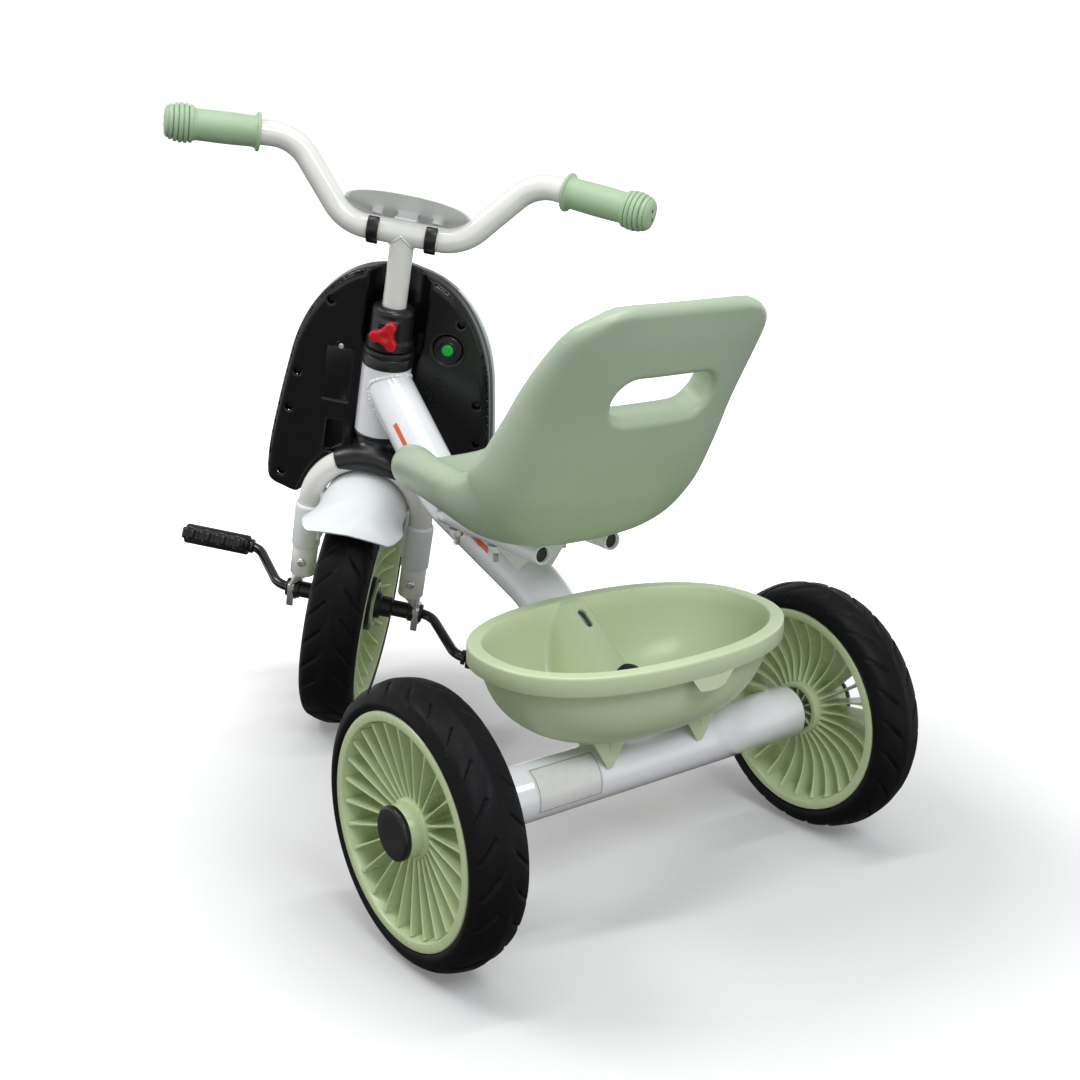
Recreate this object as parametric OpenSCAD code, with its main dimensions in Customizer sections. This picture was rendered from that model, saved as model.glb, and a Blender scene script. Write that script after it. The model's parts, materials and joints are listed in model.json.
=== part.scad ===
// Children's tricycle with a bucket seat, a rear basket and a music shield on the fork.
// +Z is up, the front faces -Y, the rider's left is +X, and the floor is at Z = 0.
// The steering is shown turned to the right, as a parked tricycle often stands.

/* [Rear wheels] */
// Radius of the rear tyres
rear_r = 106; // [102:1:110]
// Width of the rear tyres
rear_w = 46; // [44:1:48]
// Distance from the middle plane of the tricycle to the middle of a rear wheel
rear_x = 196.5; // [194:0.5:205]
// Number of vanes in every wheel
vane_count = 27; // [20:1:30]
// Thickness of a vane
vane_t = 1.8; // [1.4:0.2:2.2]

/* [Front wheel] */
// Radius of the front tyre
front_r = 122; // [118:1:124]
// Width of the front tyre
front_w = 52; // [48:1:54]
// Throw of the cranks
crank_throw = 54; // [48:1:60]
// Angle of the left crank, seen from the left, from straight back
crank_angle = 174; // [150:1:200]
// Tilt of the pedals against the fork
pedal_tilt = 30; // [0:5:60]

/* [Steering] */
// Angle that the steering axis leans back
rake = 13.9; // [12:0.1:15]
// Angle that the steering is turned to the right
steer_rest = 42.6; // [35:0.1:43]
// Distance of the wheel axle behind the steering axis
fork_e = 20; // [19:1:21]
// Distance from the middle of a fork leg to the middle plane
leg_x = 53.8; // [53:0.2:55]

/* [Frame] */
// Outside radius of the rear axle tube
axle_tube_r = 22; // [21:0.5:23]
// Outside radius of the main tube
main_r = 22; // [20:0.5:22]
// Wall of the steel tubes
wall = 1.5; // [1.2:0.1:2]

/* [Seat and basket] */
// Thickness of the seat shell in its middle
seat_t = 16; // [14:1:18]
// Half length of the basket's rim, across the tricycle
basket_a = 136; // [132:1:140]
// Half width of the basket's rim, along the tricycle
basket_b = 86; // [84:1:90]
// Height of the top of the basket's rim
basket_top = 212.5; // [210:0.5:216]

/* [Handlebar] */
// Outside radius of the handlebar and its stem
bar_r = 11; // [10.5:0.5:11]
// Angle that the grips sweep back
grip_sweep = 20; // [10:1:25]
// Length of a grip without its ball end
grip_l = 70; // [60:1:80]

/* [Hidden] */
$fn = 64;

// The origin is under the middle of the tricycle's box; the rear axle lies this far behind it
origin_y = -244.85;
// Crossing of the steering axis with the floor, in front of the rear axle
axis_y = -460;

// Colours
cream = [0.93, 0.92, 0.88];
white = [0.95, 0.95, 0.94];
green = [0.66, 0.76, 0.60];
basket_green = [0.72, 0.82, 0.60];
black = [0.07, 0.07, 0.08];
zinc = [0.72, 0.73, 0.72];

// Radial play of a running fit, and the gap between parts that must not touch
play = 0.05;
// Depth of the flat that each tyre stands on
foot_flat = 0.3;
gap = 0.4;

// Heights along the steering axis
head_low = 305.5;
head_high = 372.5;
bush_high = 389.5;
collar_high = 430;
fork_top = 282;
leg_low = 148.5;
bar_s = 497;
head_r = 23;
bush_r = 20;
steerer_r = 15;
rod_r = 5;
crank_r = 4.75;

// Tyre sizes that follow from the wheels
crown_r = 33;
rear_rim_r = 87.2;
front_rim_r = 100;
// Height of the front axle along the steering axis, so that the tyre just touches the floor
camber = asin(sin(steer_rest) * sin(rake));
front_reach = (front_r - crown_r) * cos(camber) + crown_r;
axle_s = (front_reach + fork_e * cos(steer_rest) * sin(rake)) / cos(rake);

// Half width of the tricycle outside the forks, where the axle bushes sit
holder_x = 62.4;

function unit(v) = v / norm(v);
function lerp(a, b, t) = a + (b - a) * t;
function super_x(a, t, n) = a * sign(cos(t)) * pow(abs(cos(t)), 2 / n);
function super_y(b, t, n) = b * sign(sin(t)) * pow(abs(sin(t)), 2 / n);
// A value from a list of stations, at t from 0 to len - 1, on a smooth curve through them
function smooth_at(list, t) =
    let (n = len(list), i = min(floor(t), n - 2), f = t - i,
         a = list[max(i - 1, 0)], b = list[i], c = list[i + 1], d = list[min(i + 2, n - 1)])
    0.5 * (2 * b + (c - a) * f + (2 * a - 5 * b + 4 * c - d) * f * f
           + (3 * b - a - 3 * c + d) * f * f * f);

// Puts children drawn from the rear axle forward where they belong
module based() {
    translate([0, -origin_y, 0]) children();
}

// Local frame of the head tube: X across, Y behind the steering axis, Z along it
module raked() {
    based() translate([0, axis_y, 0]) rotate([-rake, 0, 0]) children();
}

// The same frame, turned with the steering
module steered() {
    raked() rotate([0, 0, -steer_rest]) children();
}

// Frame of the front wheel: X along the axle, Y along the left crank
module front_axle() {
    steered() translate([0, fork_e, axle_s]) rotate([crank_angle, 0, 0]) children();
}

module mirror_x() {
    children();
    mirror([1, 0, 0]) children();
}

module x_cylinder(r, x0, x1) {
    translate([x0, 0, 0]) rotate([0, 90, 0]) cylinder(r = r, h = x1 - x0);
}

module rod_between(a, b, r) {
    v = b - a;
    translate(a) rotate([0, acos(v[2] / norm(v)), atan2(v[1], v[0])]) cylinder(r = r, h = norm(v));
}

// A quarter-like elbow round corner p, from direction a to direction b
module elbow(p, a, b, bend, r) {
    turn = acos(a * b);
    n = unit(b - a * (a * b));
    c = p - a * bend * tan(turn / 2) + n * bend;
    z = cross(-n, a);
    multmatrix([[-n[0], a[0], z[0], c[0]], [-n[1], a[1], z[1], c[1]], [-n[2], a[2], z[2], c[2]]])
        rotate_extrude(angle = turn) translate([bend, 0]) circle(r = r);
}

// A round rod along a route, bent at each inner point; the bends are a hair thicker
module bent_rod(route, bends, r) {
    n = len(route);
    lap = 0.4;
    dirs = [for (i = [0 : n - 2]) unit(route[i + 1] - route[i])];
    trim = [for (i = [0 : n - 1]) (i == 0 || i == n - 1) ? 0
        : bends[i - 1] * tan(acos(dirs[i - 1] * dirs[i]) / 2) - lap];
    for (i = [0 : n - 2])
        rod_between(route[i] + dirs[i] * trim[i], route[i + 1] - dirs[i] * trim[i + 1], r);
    for (i = [1 : n - 2])
        elbow(route[i], dirs[i - 1], dirs[i], bends[i - 1], r + 0.05);
}

// A closed slab between two grids of points with the same rows and columns
module slab(top, under) {
    rows = len(top);
    cols = len(top[0]);
    count = rows * cols;
    points = concat([for (row = top) for (p = row) p], [for (row = under) for (p = row) p]);
    skin = [for (i = [0 : rows - 2]) for (j = [0 : cols - 2])
        let (a = i * cols + j, b = a + 1, c = a + cols + 1, d = a + cols)
        for (f = [[a, b, c], [a, c, d]]) f];
    back = [for (f = skin) [f[0] + count, f[2] + count, f[1] + count]];
    rim = concat(
        [for (j = [0 : cols - 1]) j],
        [for (i = [1 : rows - 1]) i * cols + cols - 1],
        [for (j = [cols - 2 : -1 : 0]) (rows - 1) * cols + j],
        [for (i = [rows - 2 : -1 : 1]) i * cols]);
    m = len(rim);
    sides = [for (k = [0 : m - 1]) let (a = rim[k], b = rim[(k + 1) % m])
        for (f = [[b, a, a + count], [b, a + count, b + count]]) f];
    polyhedron(points, concat(skin, back, sides));
}

// A closed skin through rings of points, with a pole at each end
module ringed(rings, pole_a, pole_b) {
    k = len(rings);
    n = len(rings[0]);
    points = concat([for (r = rings) for (p = r) p], [pole_a, pole_b]);
    walls = [for (i = [0 : k - 2]) for (j = [0 : n - 1])
        let (a = i * n + j, b = i * n + (j + 1) % n, c = b + n, d = a + n)
        for (f = [[a, c, b], [a, d, c]]) f];
    cap_a = [for (j = [0 : n - 1]) [k * n, j, (j + 1) % n]];
    cap_b = [for (j = [0 : n - 1]) [k * n + 1, (k - 1) * n + (j + 1) % n, (k - 1) * n + j]];
    polyhedron(points, concat(walls, cap_a, cap_b));
}

// ---------------------------------------------------------------- wheels

// Half section of a tyre: crown arc, shoulders and flat seat on the rim
module tyre_section(r, w, rim_r) {
    half = asin(0.43 * w / crown_r);
    arc = [for (i = [-6 : 6]) let (t = half * i / 6)
        [r - crown_r + crown_r * cos(t), crown_r * sin(t)]];
    polygon(concat([[rim_r, -w / 2 + 1], [rim_r + 2, -w / 2], [r * 0.905, -w / 2]], arc,
        [[r * 0.905, w / 2], [rim_r + 2, w / 2], [rim_r, w / 2 - 1]]));
}

module tyre(r, w, rim_r) {
    rotate([0, 90, 0]) rotate_extrude($fn = 96) tyre_section(r, w, rim_r);
}

// One thin vane, its outer edge straight and its inner edge hollow
module vane(r_in, r_out, w) {
    translate([0, vane_t / 2, 0]) rotate([90, 0, 0]) linear_extrude(vane_t)
        polygon([[w * 0.42, r_out], [w * 0.24, r_in], [-w * 0.26, r_in],
            [-w * 0.20, lerp(r_in, r_out, 0.32)], [-w * 0.26, lerp(r_in, r_out, 0.65)],
            [-w * 0.42, r_out]]);
}

// The vaned rim; +X is its outer face
module vaned_rim(r, w, hub_r, hub_from, sleeve_to) {
    rotate([0, 90, 0]) rotate_extrude($fn = 96)
        polygon([[r, -w / 2 + 1], [r, w / 2 - 1], [r - 1, w / 2], [r - 7, w / 2], [r - 8, w / 2 - 1],
            [r - 9.5, w / 2 - 8], [r - 9.5, -w / 2 + 8], [r - 8, -w / 2 + 1], [r - 7, -w / 2],
            [r - 1, -w / 2]]);
    for (i = [0 : vane_count - 1])
        rotate([i * 360 / vane_count, 0, 0]) vane(hub_r - 1.5, r - 8.6, w);
    x_cylinder(hub_r, hub_from, w * 0.27);
    x_cylinder(hub_r - 2.7, w * 0.27, sleeve_to);
}

module rear_rim() {
    difference() {
        vaned_rim(rear_rim_r, rear_w - 1, 22.7, -rear_w * 0.42, rear_w / 2 - 0.5);
        x_cylinder(rod_r + play, -40, 40);
        x_cylinder(17, 12.5, 40);
    }
}

module rear_side() {
    based() translate([rear_x, 0, rear_r]) children();
}

// Everything under the floor
module below_floor() {
    translate([-500, -500, -20]) cube([1000, 1000, 20]);
}

module rear_tyre_left() {
    color(black) difference() {
        rear_side() tyre(rear_r + foot_flat, rear_w, rear_rim_r);
        below_floor();
    }
}

module rear_rim_left() {
    color(green) rear_side() rear_rim();
}

module hub_cap() {
    rotate([0, 90, 0]) rotate_extrude()
        polygon([[0, rear_w / 2 + 0.2], [0, rear_w / 2 + 5], [17.5, rear_w / 2 + 5],
            [19.4, rear_w / 2 + 4.2], [20.2, rear_w / 2 + 2.6], [20.2, rear_w / 2 - 0.5],
            [17, rear_w / 2 - 0.5], [17, rear_w / 2 - 6], [14, rear_w / 2 - 6],
            [14, rear_w / 2 + 0.2]]);
}

module hub_cap_left() {
    color(black) rear_side() hub_cap();
}

module rear_tyre_right() {
    mirror([1, 0, 0]) rear_tyre_left();
}

module rear_rim_right() {
    mirror([1, 0, 0]) rear_rim_left();
}

module hub_cap_right() {
    mirror([1, 0, 0]) hub_cap_left();
}

module front_tyre() {
    color(black) difference() {
        front_axle() tyre(front_r + foot_flat, front_w, front_rim_r);
        below_floor();
    }
}

module front_rim() {
    color(green) front_axle() difference() {
        union() {
            vaned_rim(front_rim_r, front_w - 1, 22, -front_w * 0.28, front_w * 0.28);
        }
        x_cylinder(crank_r, -40, 40);
    }
}

// Black flange discs with stepped bushes, one on each side of the front rim
module rim_flanges() {
    color(black) front_axle() mirror_x() difference() {
        union() {
            x_cylinder(23, front_w * 0.28, front_w * 0.28 + 4.5);
            x_cylinder(14, front_w * 0.28 + 4.5, 27);
            x_cylinder(10.5, 27, 38);
        }
        x_cylinder(crank_r, 0, 80);
    }
}

module crank() {
    t = crank_throw;
    color(black) front_axle()
        bent_rod([[-184, -t, 0], [-106, -t, 0], [-80, 0, 0], [80, 0, 0], [106, t, 0], [184, t, 0]],
            [14, 14, 14, 14], crank_r);
}

// Pedal block on the crank's end; the block's broad faces are +Y and -Y
module pedal() {
    half_w = 28;
    difference() {
        union() {
            x_cylinder(9.5, 122.5, 188);
            for (s = [-1, 1])
                hull() {
                    for (y = [s * 15, s * (half_w - 6)])
                        translate([128, y, 0]) rotate([0, 90, 0]) cylinder(r = 7, h = 58, $fn = 24);
                }
            for (x = [128, 144, 160, 176])
                translate([x, -22, -5]) cube([10, 44, 10]);
        }
        x_cylinder(crank_r + play, 100, 185);
    }
}

module pedal_left() {
    color(black) front_axle() translate([0, crank_throw, 0]) rotate([pedal_tilt - crank_angle, 0, 0])
        pedal();
}

module pedal_right() {
    color(black) front_axle() translate([0, -crank_throw, 0]) rotate([pedal_tilt - crank_angle, 0, 0])
        mirror([1, 0, 0]) pedal();
}

// ---------------------------------------------------------------- frame

// Middle line of the main tube, from the head tube down to the rear axle tube
main_route = [[0, -376, 348.5], [0, -273, 256], [0, -132, 210], [0, 0, 117]];
main_bends = [90, 100];

module head_tube() {
    color(white) raked() translate([0, 0, head_low]) difference() {
        cylinder(r = head_r, h = head_high - head_low);
        translate([0, 0, -1]) cylinder(r = bush_r, h = head_high - head_low + 2);
    }
}

module main_tube() {
    color(white) difference() {
        based() bent_rod(main_route, main_bends, main_r);
        based() bent_rod(main_route, main_bends, main_r - wall);
        raked() cylinder(r = head_r, h = 500);
        based() translate([0, 0, rear_r]) x_cylinder(axle_tube_r, -60, 60);
    }
}

module rear_axle_tube() {
    color(white) based() translate([0, 0, rear_r]) difference() {
        x_cylinder(axle_tube_r, -166, 166);
        x_cylinder(axle_tube_r - wall, -170, 170);
    }
}

module axle_tube_plugs() {
    color(black) based() translate([0, 0, rear_r]) mirror_x() difference() {
        union() {
            x_cylinder(axle_tube_r - wall, 150, 166);
            x_cylinder(axle_tube_r - 1, 166, 167.5);
            x_cylinder(9, 167.5, rear_x - (rear_w - 1) * 0.43 - gap);
        }
        x_cylinder(rod_r, 140, 190);
    }
}

module rear_axle_rod() {
    color(zinc) based() translate([0, 0, rear_r]) x_cylinder(rod_r, -rear_x - 18, rear_x + 18);
}

module rod_nuts() {
    color(zinc) based() translate([0, 0, rear_r]) mirror_x() difference() {
        x_cylinder(9, rear_x + 12.5 + gap, rear_x + 15.6);
        x_cylinder(rod_r, rear_x, rear_x + 20);
    }
}

rail_x = 35;
rail_r = 8;
rail_z = 258;
rail_front = -222;
rail_back = -80;
bolt_ys = [-202, -145];

module seat_rails() {
    color(white) based() mirror_x() translate([rail_x, 0, rail_z]) difference() {
        rotate([90, 0, 0]) translate([0, 0, -rail_back]) cylinder(r = rail_r, h = rail_back - rail_front);
        rotate([90, 0, 0]) translate([0, 0, -rail_back - 1]) cylinder(r = rail_r - wall, h = 150);
        for (y = bolt_ys)
            translate([0, y, -20]) cylinder(r = 3, h = 40);
    }
}

// Cross plates that carry the rails on the main tube
module seat_gussets() {
    color(white) difference() {
        based() for (y = [-188, -104])
            translate([0, y, 0]) rotate([90, 0, 0]) linear_extrude(3, center = true)
                polygon([[-rail_x - 9, rail_z - 2], [rail_x + 9, rail_z - 2], [20, rail_z - 52],
                    [-20, rail_z - 52]]);
        based() bent_rod(main_route, main_bends, main_r);
        based() mirror_x() translate([rail_x, 0, rail_z]) rotate([90, 0, 0])
            translate([0, 0, 60]) cylinder(r = rail_r, h = 200);
    }
}

module upper_head_bush() {
    color(black) raked() difference() {
        union() {
            translate([0, 0, head_high]) cylinder(r = 23.5, h = bush_high - head_high);
            translate([0, 0, head_high - 15]) cylinder(r = bush_r, h = 15);
        }
        translate([0, 0, 300]) cylinder(r = steerer_r + play, h = 100);
    }
}

module lower_head_bush() {
    color(black) raked() difference() {
        union() {
            translate([0, 0, head_low - 3.5]) cylinder(r = 23.5, h = 3.5);
            translate([0, 0, head_low]) cylinder(r = bush_r, h = 15);
        }
        translate([0, 0, 280]) cylinder(r = steerer_r + play, h = 100);
    }
}

// ---------------------------------------------------------------- seat

// Stations along the seat from the front edge to the top of the back:
// middle line (y, z), half width, rise of the side bolster, extra depth of the bolster
seat_stations = [
    [-261, 285, 56, 14, 12], [-248, 283, 68, 22, 20], [-215, 280, 78, 30, 22], [-165, 276, 88, 40, 12],
    [-112, 276, 96, 50, 4], [-66, 285, 101, 53, 0], [-34, 309, 104, 47, 0], [-13, 344, 103, 38, 0],
    [2, 382, 101, 30, 0], [15, 415, 96, 23, 0], [25, 438, 90, 16, 0], [31, 452, 81, 11, 0],
    [34, 460, 72, 8, 0], [35.5, 464, 58, 5, 0]
];
seat_rows = 40;
seat_cols = 22;

function seat_state(v) = smooth_at(seat_stations, v * (len(seat_stations) - 1));
function seat_normal(v) =
    let (a = seat_state(max(v - 0.01, 0)), b = seat_state(min(v + 0.01, 1)))
    unit([0, -(b[1] - a[1]), b[0] - a[0]]);
// A point on the seat at v along it and u across it, on its top (side 1) or under it (side -1)
function seat_point(v, u, side) =
    let (s = seat_state(v), n = seat_normal(v),
         rise = s[3] * pow(abs(u), 2.6),
         drop = side > 0 ? 0 : s[4] * pow(abs(u), 3),
         edge = seat_t / 2 * sqrt(max(1 - pow(abs(u), 8), 0.12)))
    [s[2] * sin(u * 90) * 0.985 + s[2] * 0.015 * u, s[0], s[1]] + n * (rise + side * edge - drop);

module seat_skin() {
    top = [for (i = [0 : seat_rows]) [for (j = [0 : seat_cols])
        seat_point(i / seat_rows, 2 * j / seat_cols - 1, 1)]];
    under = [for (i = [0 : seat_rows]) [for (j = [0 : seat_cols])
        seat_point(i / seat_rows, 2 * j / seat_cols - 1, -1)]];
    slab(top, under);
}

module handle_slot() {
    translate([0, 4, 401]) rotate([90 - 24, 0, 0]) hull()
        for (x = [-29, 29])
            translate([x, 0, 0]) cylinder(r = 19, h = 140, center = true, $fn = 32);
}

module seat() {
    color(green) based() difference() {
        seat_skin();
        handle_slot();
        mirror_x() translate([rail_x, 0, rail_z]) rotate([90, 0, 0])
            translate([0, 0, 40]) cylinder(r = rail_r, h = 250);
        mirror_x() for (y = bolt_ys)
            translate([rail_x, y, rail_z]) cylinder(r = 3, h = 18);
    }
}

module seat_bolts() {
    color(zinc) based() mirror_x() for (y = bolt_ys) {
        translate([rail_x, y, rail_z - 22]) cylinder(r = 3, h = 36);
        translate([rail_x, y, rail_z - rail_r - 6]) cylinder(r = 6, h = 5.9, $fn = 6);
    }
}

// ---------------------------------------------------------------- basket

basket_y = -13.5;
basket_n = 2.3;
basket_wall = 3;
basket_deep = 78;
rim_in = 11.7;
rim_h = 15;
basket_steps = 112;

function main_mid(y) = 210 + (117 - 210) / 132 * (y + 132);
function ridge(y) = main_mid(y) + 36;
function bowl_z(rho) = basket_top - basket_deep * pow(max(1 - pow(rho, 4), 0), 0.52);
function hump_z(x, y) = ridge(y) - 30 * pow(abs(x) / 29, 4);
function loop(a, b) = [for (i = [0 : basket_steps - 1]) let (t = i * 360 / basket_steps)
    [super_x(a, t, basket_n), basket_y + super_y(b, t, basket_n)]];
// Ring of the bowl at fraction rho, out by g and down by d
function bowl_ring(rho, g, d) =
    let (a = (basket_a - rim_in + g) * rho, b = (basket_b - rim_in + g) * rho)
    [for (p = loop(a, b)) [p[0], p[1], min(max(bowl_z(rho), hump_z(p[0], p[1])) - d, basket_top - 2.6 * d / 3)]];
function flat_ring(a, b, z) = [for (p = loop(a, b)) [p[0], p[1], z]];
basket_rhos = [0.1, 0.2, 0.3, 0.4, 0.5, 0.6, 0.7, 0.8, 0.87, 0.92, 0.96, 0.985];

module basket_bowl() {
    n = len(basket_rhos);
    w = basket_wall;
    ringed(concat(
        [for (i = [0 : n - 1]) bowl_ring(basket_rhos[i], w, w)],
        [flat_ring(basket_a - rim_in + w, basket_b - rim_in + w, basket_top - 2.6),
         flat_ring(basket_a - 3, basket_b - 3, basket_top - 2.6),
         flat_ring(basket_a - 2.5, basket_b - 2.5, basket_top - rim_h),
         flat_ring(basket_a, basket_b, basket_top - rim_h),
         flat_ring(basket_a, basket_b, basket_top - 1),
         flat_ring(basket_a - 1.2, basket_b - 1.2, basket_top),
         flat_ring(basket_a - rim_in, basket_b - rim_in, basket_top)],
        [for (i = [n - 1 : -1 : 0]) bowl_ring(basket_rhos[i], 0, 0)]),
        [0, basket_y, max(bowl_z(0), hump_z(0, basket_y)) - w],
        [0, basket_y, max(bowl_z(0), hump_z(0, basket_y))]);
}

stud_y = -35;
stud_z = main_mid(stud_y);
main_slope = atan2(210 - 117, 132);

// Frame on the main tube under the basket, +Z square to the tube
module on_main() {
    translate([0, stud_y, stud_z]) rotate([-main_slope, 0, 0]) children();
}

module basket() {
    color(basket_green) based() difference() {
        union() {
            basket_bowl();
            for (x = [-50, 54])
                translate([x, 0, 0]) {
                    rotate([90, 0, 90]) linear_extrude(3, center = true)
                        polygon([[-26, 134], [26, 134], [20, rear_r + 2], [-20, rear_r + 2]]);
                    translate([0, 14, 0]) rotate([90, 0, 0]) linear_extrude(3, center = true)
                        polygon([[-20, 134], [20, 134], [4, rear_r + 8], [-4, rear_r + 8]]);
                }
        }
        translate([0, 0, rear_r]) x_cylinder(axle_tube_r, -90, 90);
        on_main() {
            cylinder(r = 3.2, h = 60);
            rotate([90, 0, 0]) cylinder(r = main_r + gap, h = 260, center = true);
        }
        translate([0, -76, 0]) hull() {
            for (y = [0, 12])
                translate([0, y, 150]) cylinder(r = 3.5, h = 80, $fn = 24);
        }
    }
}

module basket_stud() {
    color(zinc) based() {
        on_main() translate([0, 0, main_r]) cylinder(r = 3, h = 18);
        on_main() translate([0, 0, main_r + 8.9]) difference() {
            cylinder(r = 8, h = 1.2);
            cylinder(r = 3, h = 2);
        }
    }
}

module basket_knob() {
    color(black) based() on_main() translate([0, 0, main_r + 10.5]) difference() {
        union() {
            cylinder(r = 7, h = 9);
            hull() for (x = [-9, 9])
                translate([x, 0, 0.5]) cylinder(r = 3.5, h = 7, $fn = 24);
        }
        translate([0, 0, -1]) cylinder(r = 3 + play, h = 9);
    }
}

// ---------------------------------------------------------------- fork

module fork_route(r) {
    arch = leg_x;
    mid = fork_top - arch;
    translate([0, fork_e, mid]) rotate([90, 0, 0])
        rotate_extrude(angle = 180) translate([arch, 0]) circle(r = r);
    for (s = [-1, 1])
        translate([s * arch, fork_e, leg_low]) cylinder(r = r, h = mid - leg_low);
}

module crown_block() {
    translate([-19, -17, fork_top - 12]) cube([38, 17 + fork_e, 22]);
}

module steerer_tube() {
    color(zinc) steered() difference() {
        translate([0, 0, 272]) cylinder(r = steerer_r, h = 152);
        translate([0, 0, 300]) cylinder(r = bar_r + play, h = 200);
        translate([0, 0, 292]) cylinder(r = 9, h = 20);
        fork_route(bar_r);
    }
}

module fork_tube() {
    color(cream) steered() difference() {
        union() {
            fork_route(bar_r);
            crown_block();
        }
        fork_route(bar_r - wall);
        difference() {
            translate([0, 0, 200]) cylinder(r = steerer_r, h = 120);
            fork_route(bar_r);
        }
        for (s = [-1, 1])
            translate([s * leg_x, fork_e, 164.6]) rotate([-90, 0, 0]) cylinder(r = 2.5, h = 30);
    }
}

module crown_cover() {
    color(black) steered() difference() {
        union() {
            translate([0, 0, 288]) cylinder(r = 21, h = head_low - 3.5 - gap - 288);
            hull() {
                for (x = [-24, 24])
                    translate([x, 12, 268]) scale([1, 1.7, 1]) cylinder(r = 14, h = 16, $fn = 32);
                translate([0, 4, 292]) cylinder(r = 22, h = 3, $fn = 32);
            }
            intersection() {
                translate([-11, -40, 272]) cube([22, 45, 22]);
                cylinder(r = channel_r, h = 400);
            }
        }
        fork_route(bar_r);
        crown_block();
        translate([0, 0, 250]) cylinder(r = steerer_r, h = 80);
        translate([0, fork_e, axle_s]) x_cylinder(143, -80, 80);
    }
}

// Fender: an arched sheet over the wheel with a sleeve on each fork leg
fender_from = 54;
fender_to = 148;

// Close round the tyre between the legs, wider and flatter towards its rear edge
function fender_point(t, u, out) =
    let (b = min(max((t - fender_from) / 24, 0), 1), f = b * b * (3 - 2 * b),
         r = lerp(140.5 - 9 * u * u - 1.5 * abs(u) + out, 99 + (40 + out) * cos(75 * u), f))
    [lerp(50 * u, (40 + out) * sin(75 * u), f), r * cos(t), r * sin(t)];

module fender() {
    rows = 20;
    cols = 14;
    color(white) steered() difference() {
        union() {
            translate([0, fork_e, axle_s])
                slab([for (i = [0 : rows]) [for (j = [0 : cols])
                    fender_point(lerp(fender_from, fender_to, i / rows), 2 * j / cols - 1, 2.5)]],
                    [for (i = [0 : rows]) [for (j = [0 : cols])
                    fender_point(lerp(fender_from, fender_to, i / rows), 2 * j / cols - 1, 0)]]);
            for (s = [-1, 1]) {
                translate([s * leg_x, fork_e, 179.5]) cylinder(r = 12.8, h = 45);
                translate([s * 40.8 - 2.2, fork_e - 9, 190]) cube([4.4, 18, 52]);
            }
        }
        fork_route(bar_r);
    }
}

module leg_screws() {
    color(zinc) steered() for (s = [-1, 1])
        translate([s * leg_x, fork_e, 164.6]) rotate([-90, 0, 0]) {
            cylinder(r = 2.5, h = bar_r + 0.2);
            translate([0, 0, bar_r + 0.2]) cylinder(r1 = 4, r2 = 2.6, h = 1.8);
        }
}

// Steel ends of the fork: a plug in each leg and a flat ear with an open slot
module axle_holders() {
    color(zinc) steered() for (s = [-1, 1]) scale([s, 1, 1]) difference() {
        union() {
            translate([leg_x, fork_e, leg_low - 8]) cylinder(r = bar_r - wall, h = 30);
            translate([leg_x - 6, fork_e - 9, leg_low - 8]) cube([12.6, 18, 8]);
            translate([holder_x - 2, fork_e - 9, axle_s]) cube([4, 18, leg_low - axle_s]);
            translate([0, fork_e, axle_s]) x_cylinder(9, holder_x - 2, holder_x + 2);
            translate([holder_x - 2, fork_e - 9, axle_s - 17]) cube([4, 18, 17]);
        }
        translate([0, fork_e, axle_s]) x_cylinder(6.5, 50, 80);
        translate([50, fork_e - 5, axle_s - 30]) cube([30, 10, 30]);
        translate([leg_x, fork_e, 164.6]) rotate([-90, 0, 0]) cylinder(r = 2.5, h = 30);
    }
}

module axle_bushes() {
    color(black) steered() translate([0, fork_e, axle_s]) mirror_x() difference() {
        union() {
            x_cylinder(7.2, 38 + gap, 56);
            x_cylinder(9.5, 56, holder_x - 2);
            x_cylinder(6.5, holder_x - 2, holder_x + 2);
            x_cylinder(8, holder_x + 2, holder_x + 4.5);
        }
        x_cylinder(crank_r + play, 20, 80);
    }
}

module clamp_collar() {
    low = bush_high + 0.5;
    color(black) steered() difference() {
        union() {
            translate([0, 0, low]) rotate_extrude()
                polygon([[0, 0], [21.5, 0], [21.5, 8], [20, 10], [19.6, 33], [18, 37], [14.5, 39.5], [0, 39.5]]);
            translate([-9, 14, low + 9]) cube([18, 9, 20]);
            intersection() {
                translate([-10, -40, low + 4]) cube([20, 25, 22]);
                cylinder(r = channel_r, h = 500);
            }
        }
        translate([0, 0, 300]) cylinder(r = steerer_r, h = 124);
        translate([0, 0, 300]) cylinder(r = bar_r + play, h = 200);
        translate([0, 0, 409]) rotate([-90, 0, 0]) cylinder(r = 3 + play, h = 60);
    }
}

module clamp_screw() {
    color(zinc) steered() translate([0, 0, 409]) rotate([-90, 0, 0])
        translate([0, 0, steerer_r + 0.4]) cylinder(r = 3, h = 16);
}

module clamp_knob() {
    color("red") steered() translate([0, 23.5, 409]) rotate([-90, 0, 0]) difference() {
        union() {
            for (a = [90 : 120 : 330])
                rotate([0, 0, a + 20]) {
                    translate([10, 0, 0.5]) cylinder(r = 5.5, h = 8);
                    translate([0, -5, 0.5]) cube([10, 10, 8]);
                }
            cylinder(r = 8, h = 9.5);
        }
        translate([0, 0, -1]) cylinder(r = 3 + play, h = 9.3);
    }
}

// ---------------------------------------------------------------- music shield

// Left half of the shield's outline, from the top of its wheel arch round to its crown:
// distance from the middle and height along the steering axis
shield_half = [[0, 268], [24, 266.5], [42, 261], [55, 251], [64, 237], [70, 222], [77, 213.5],
    [90, 216], [103, 221], [107.5, 232], [107.5, 262], [103.5, 300], [98, 340], [91, 378],
    [78, 410], [58, 436], [34, 452], [0, 460]];
shield_e = -14;
channel_r = 29;
shield_steps = 34;

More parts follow.
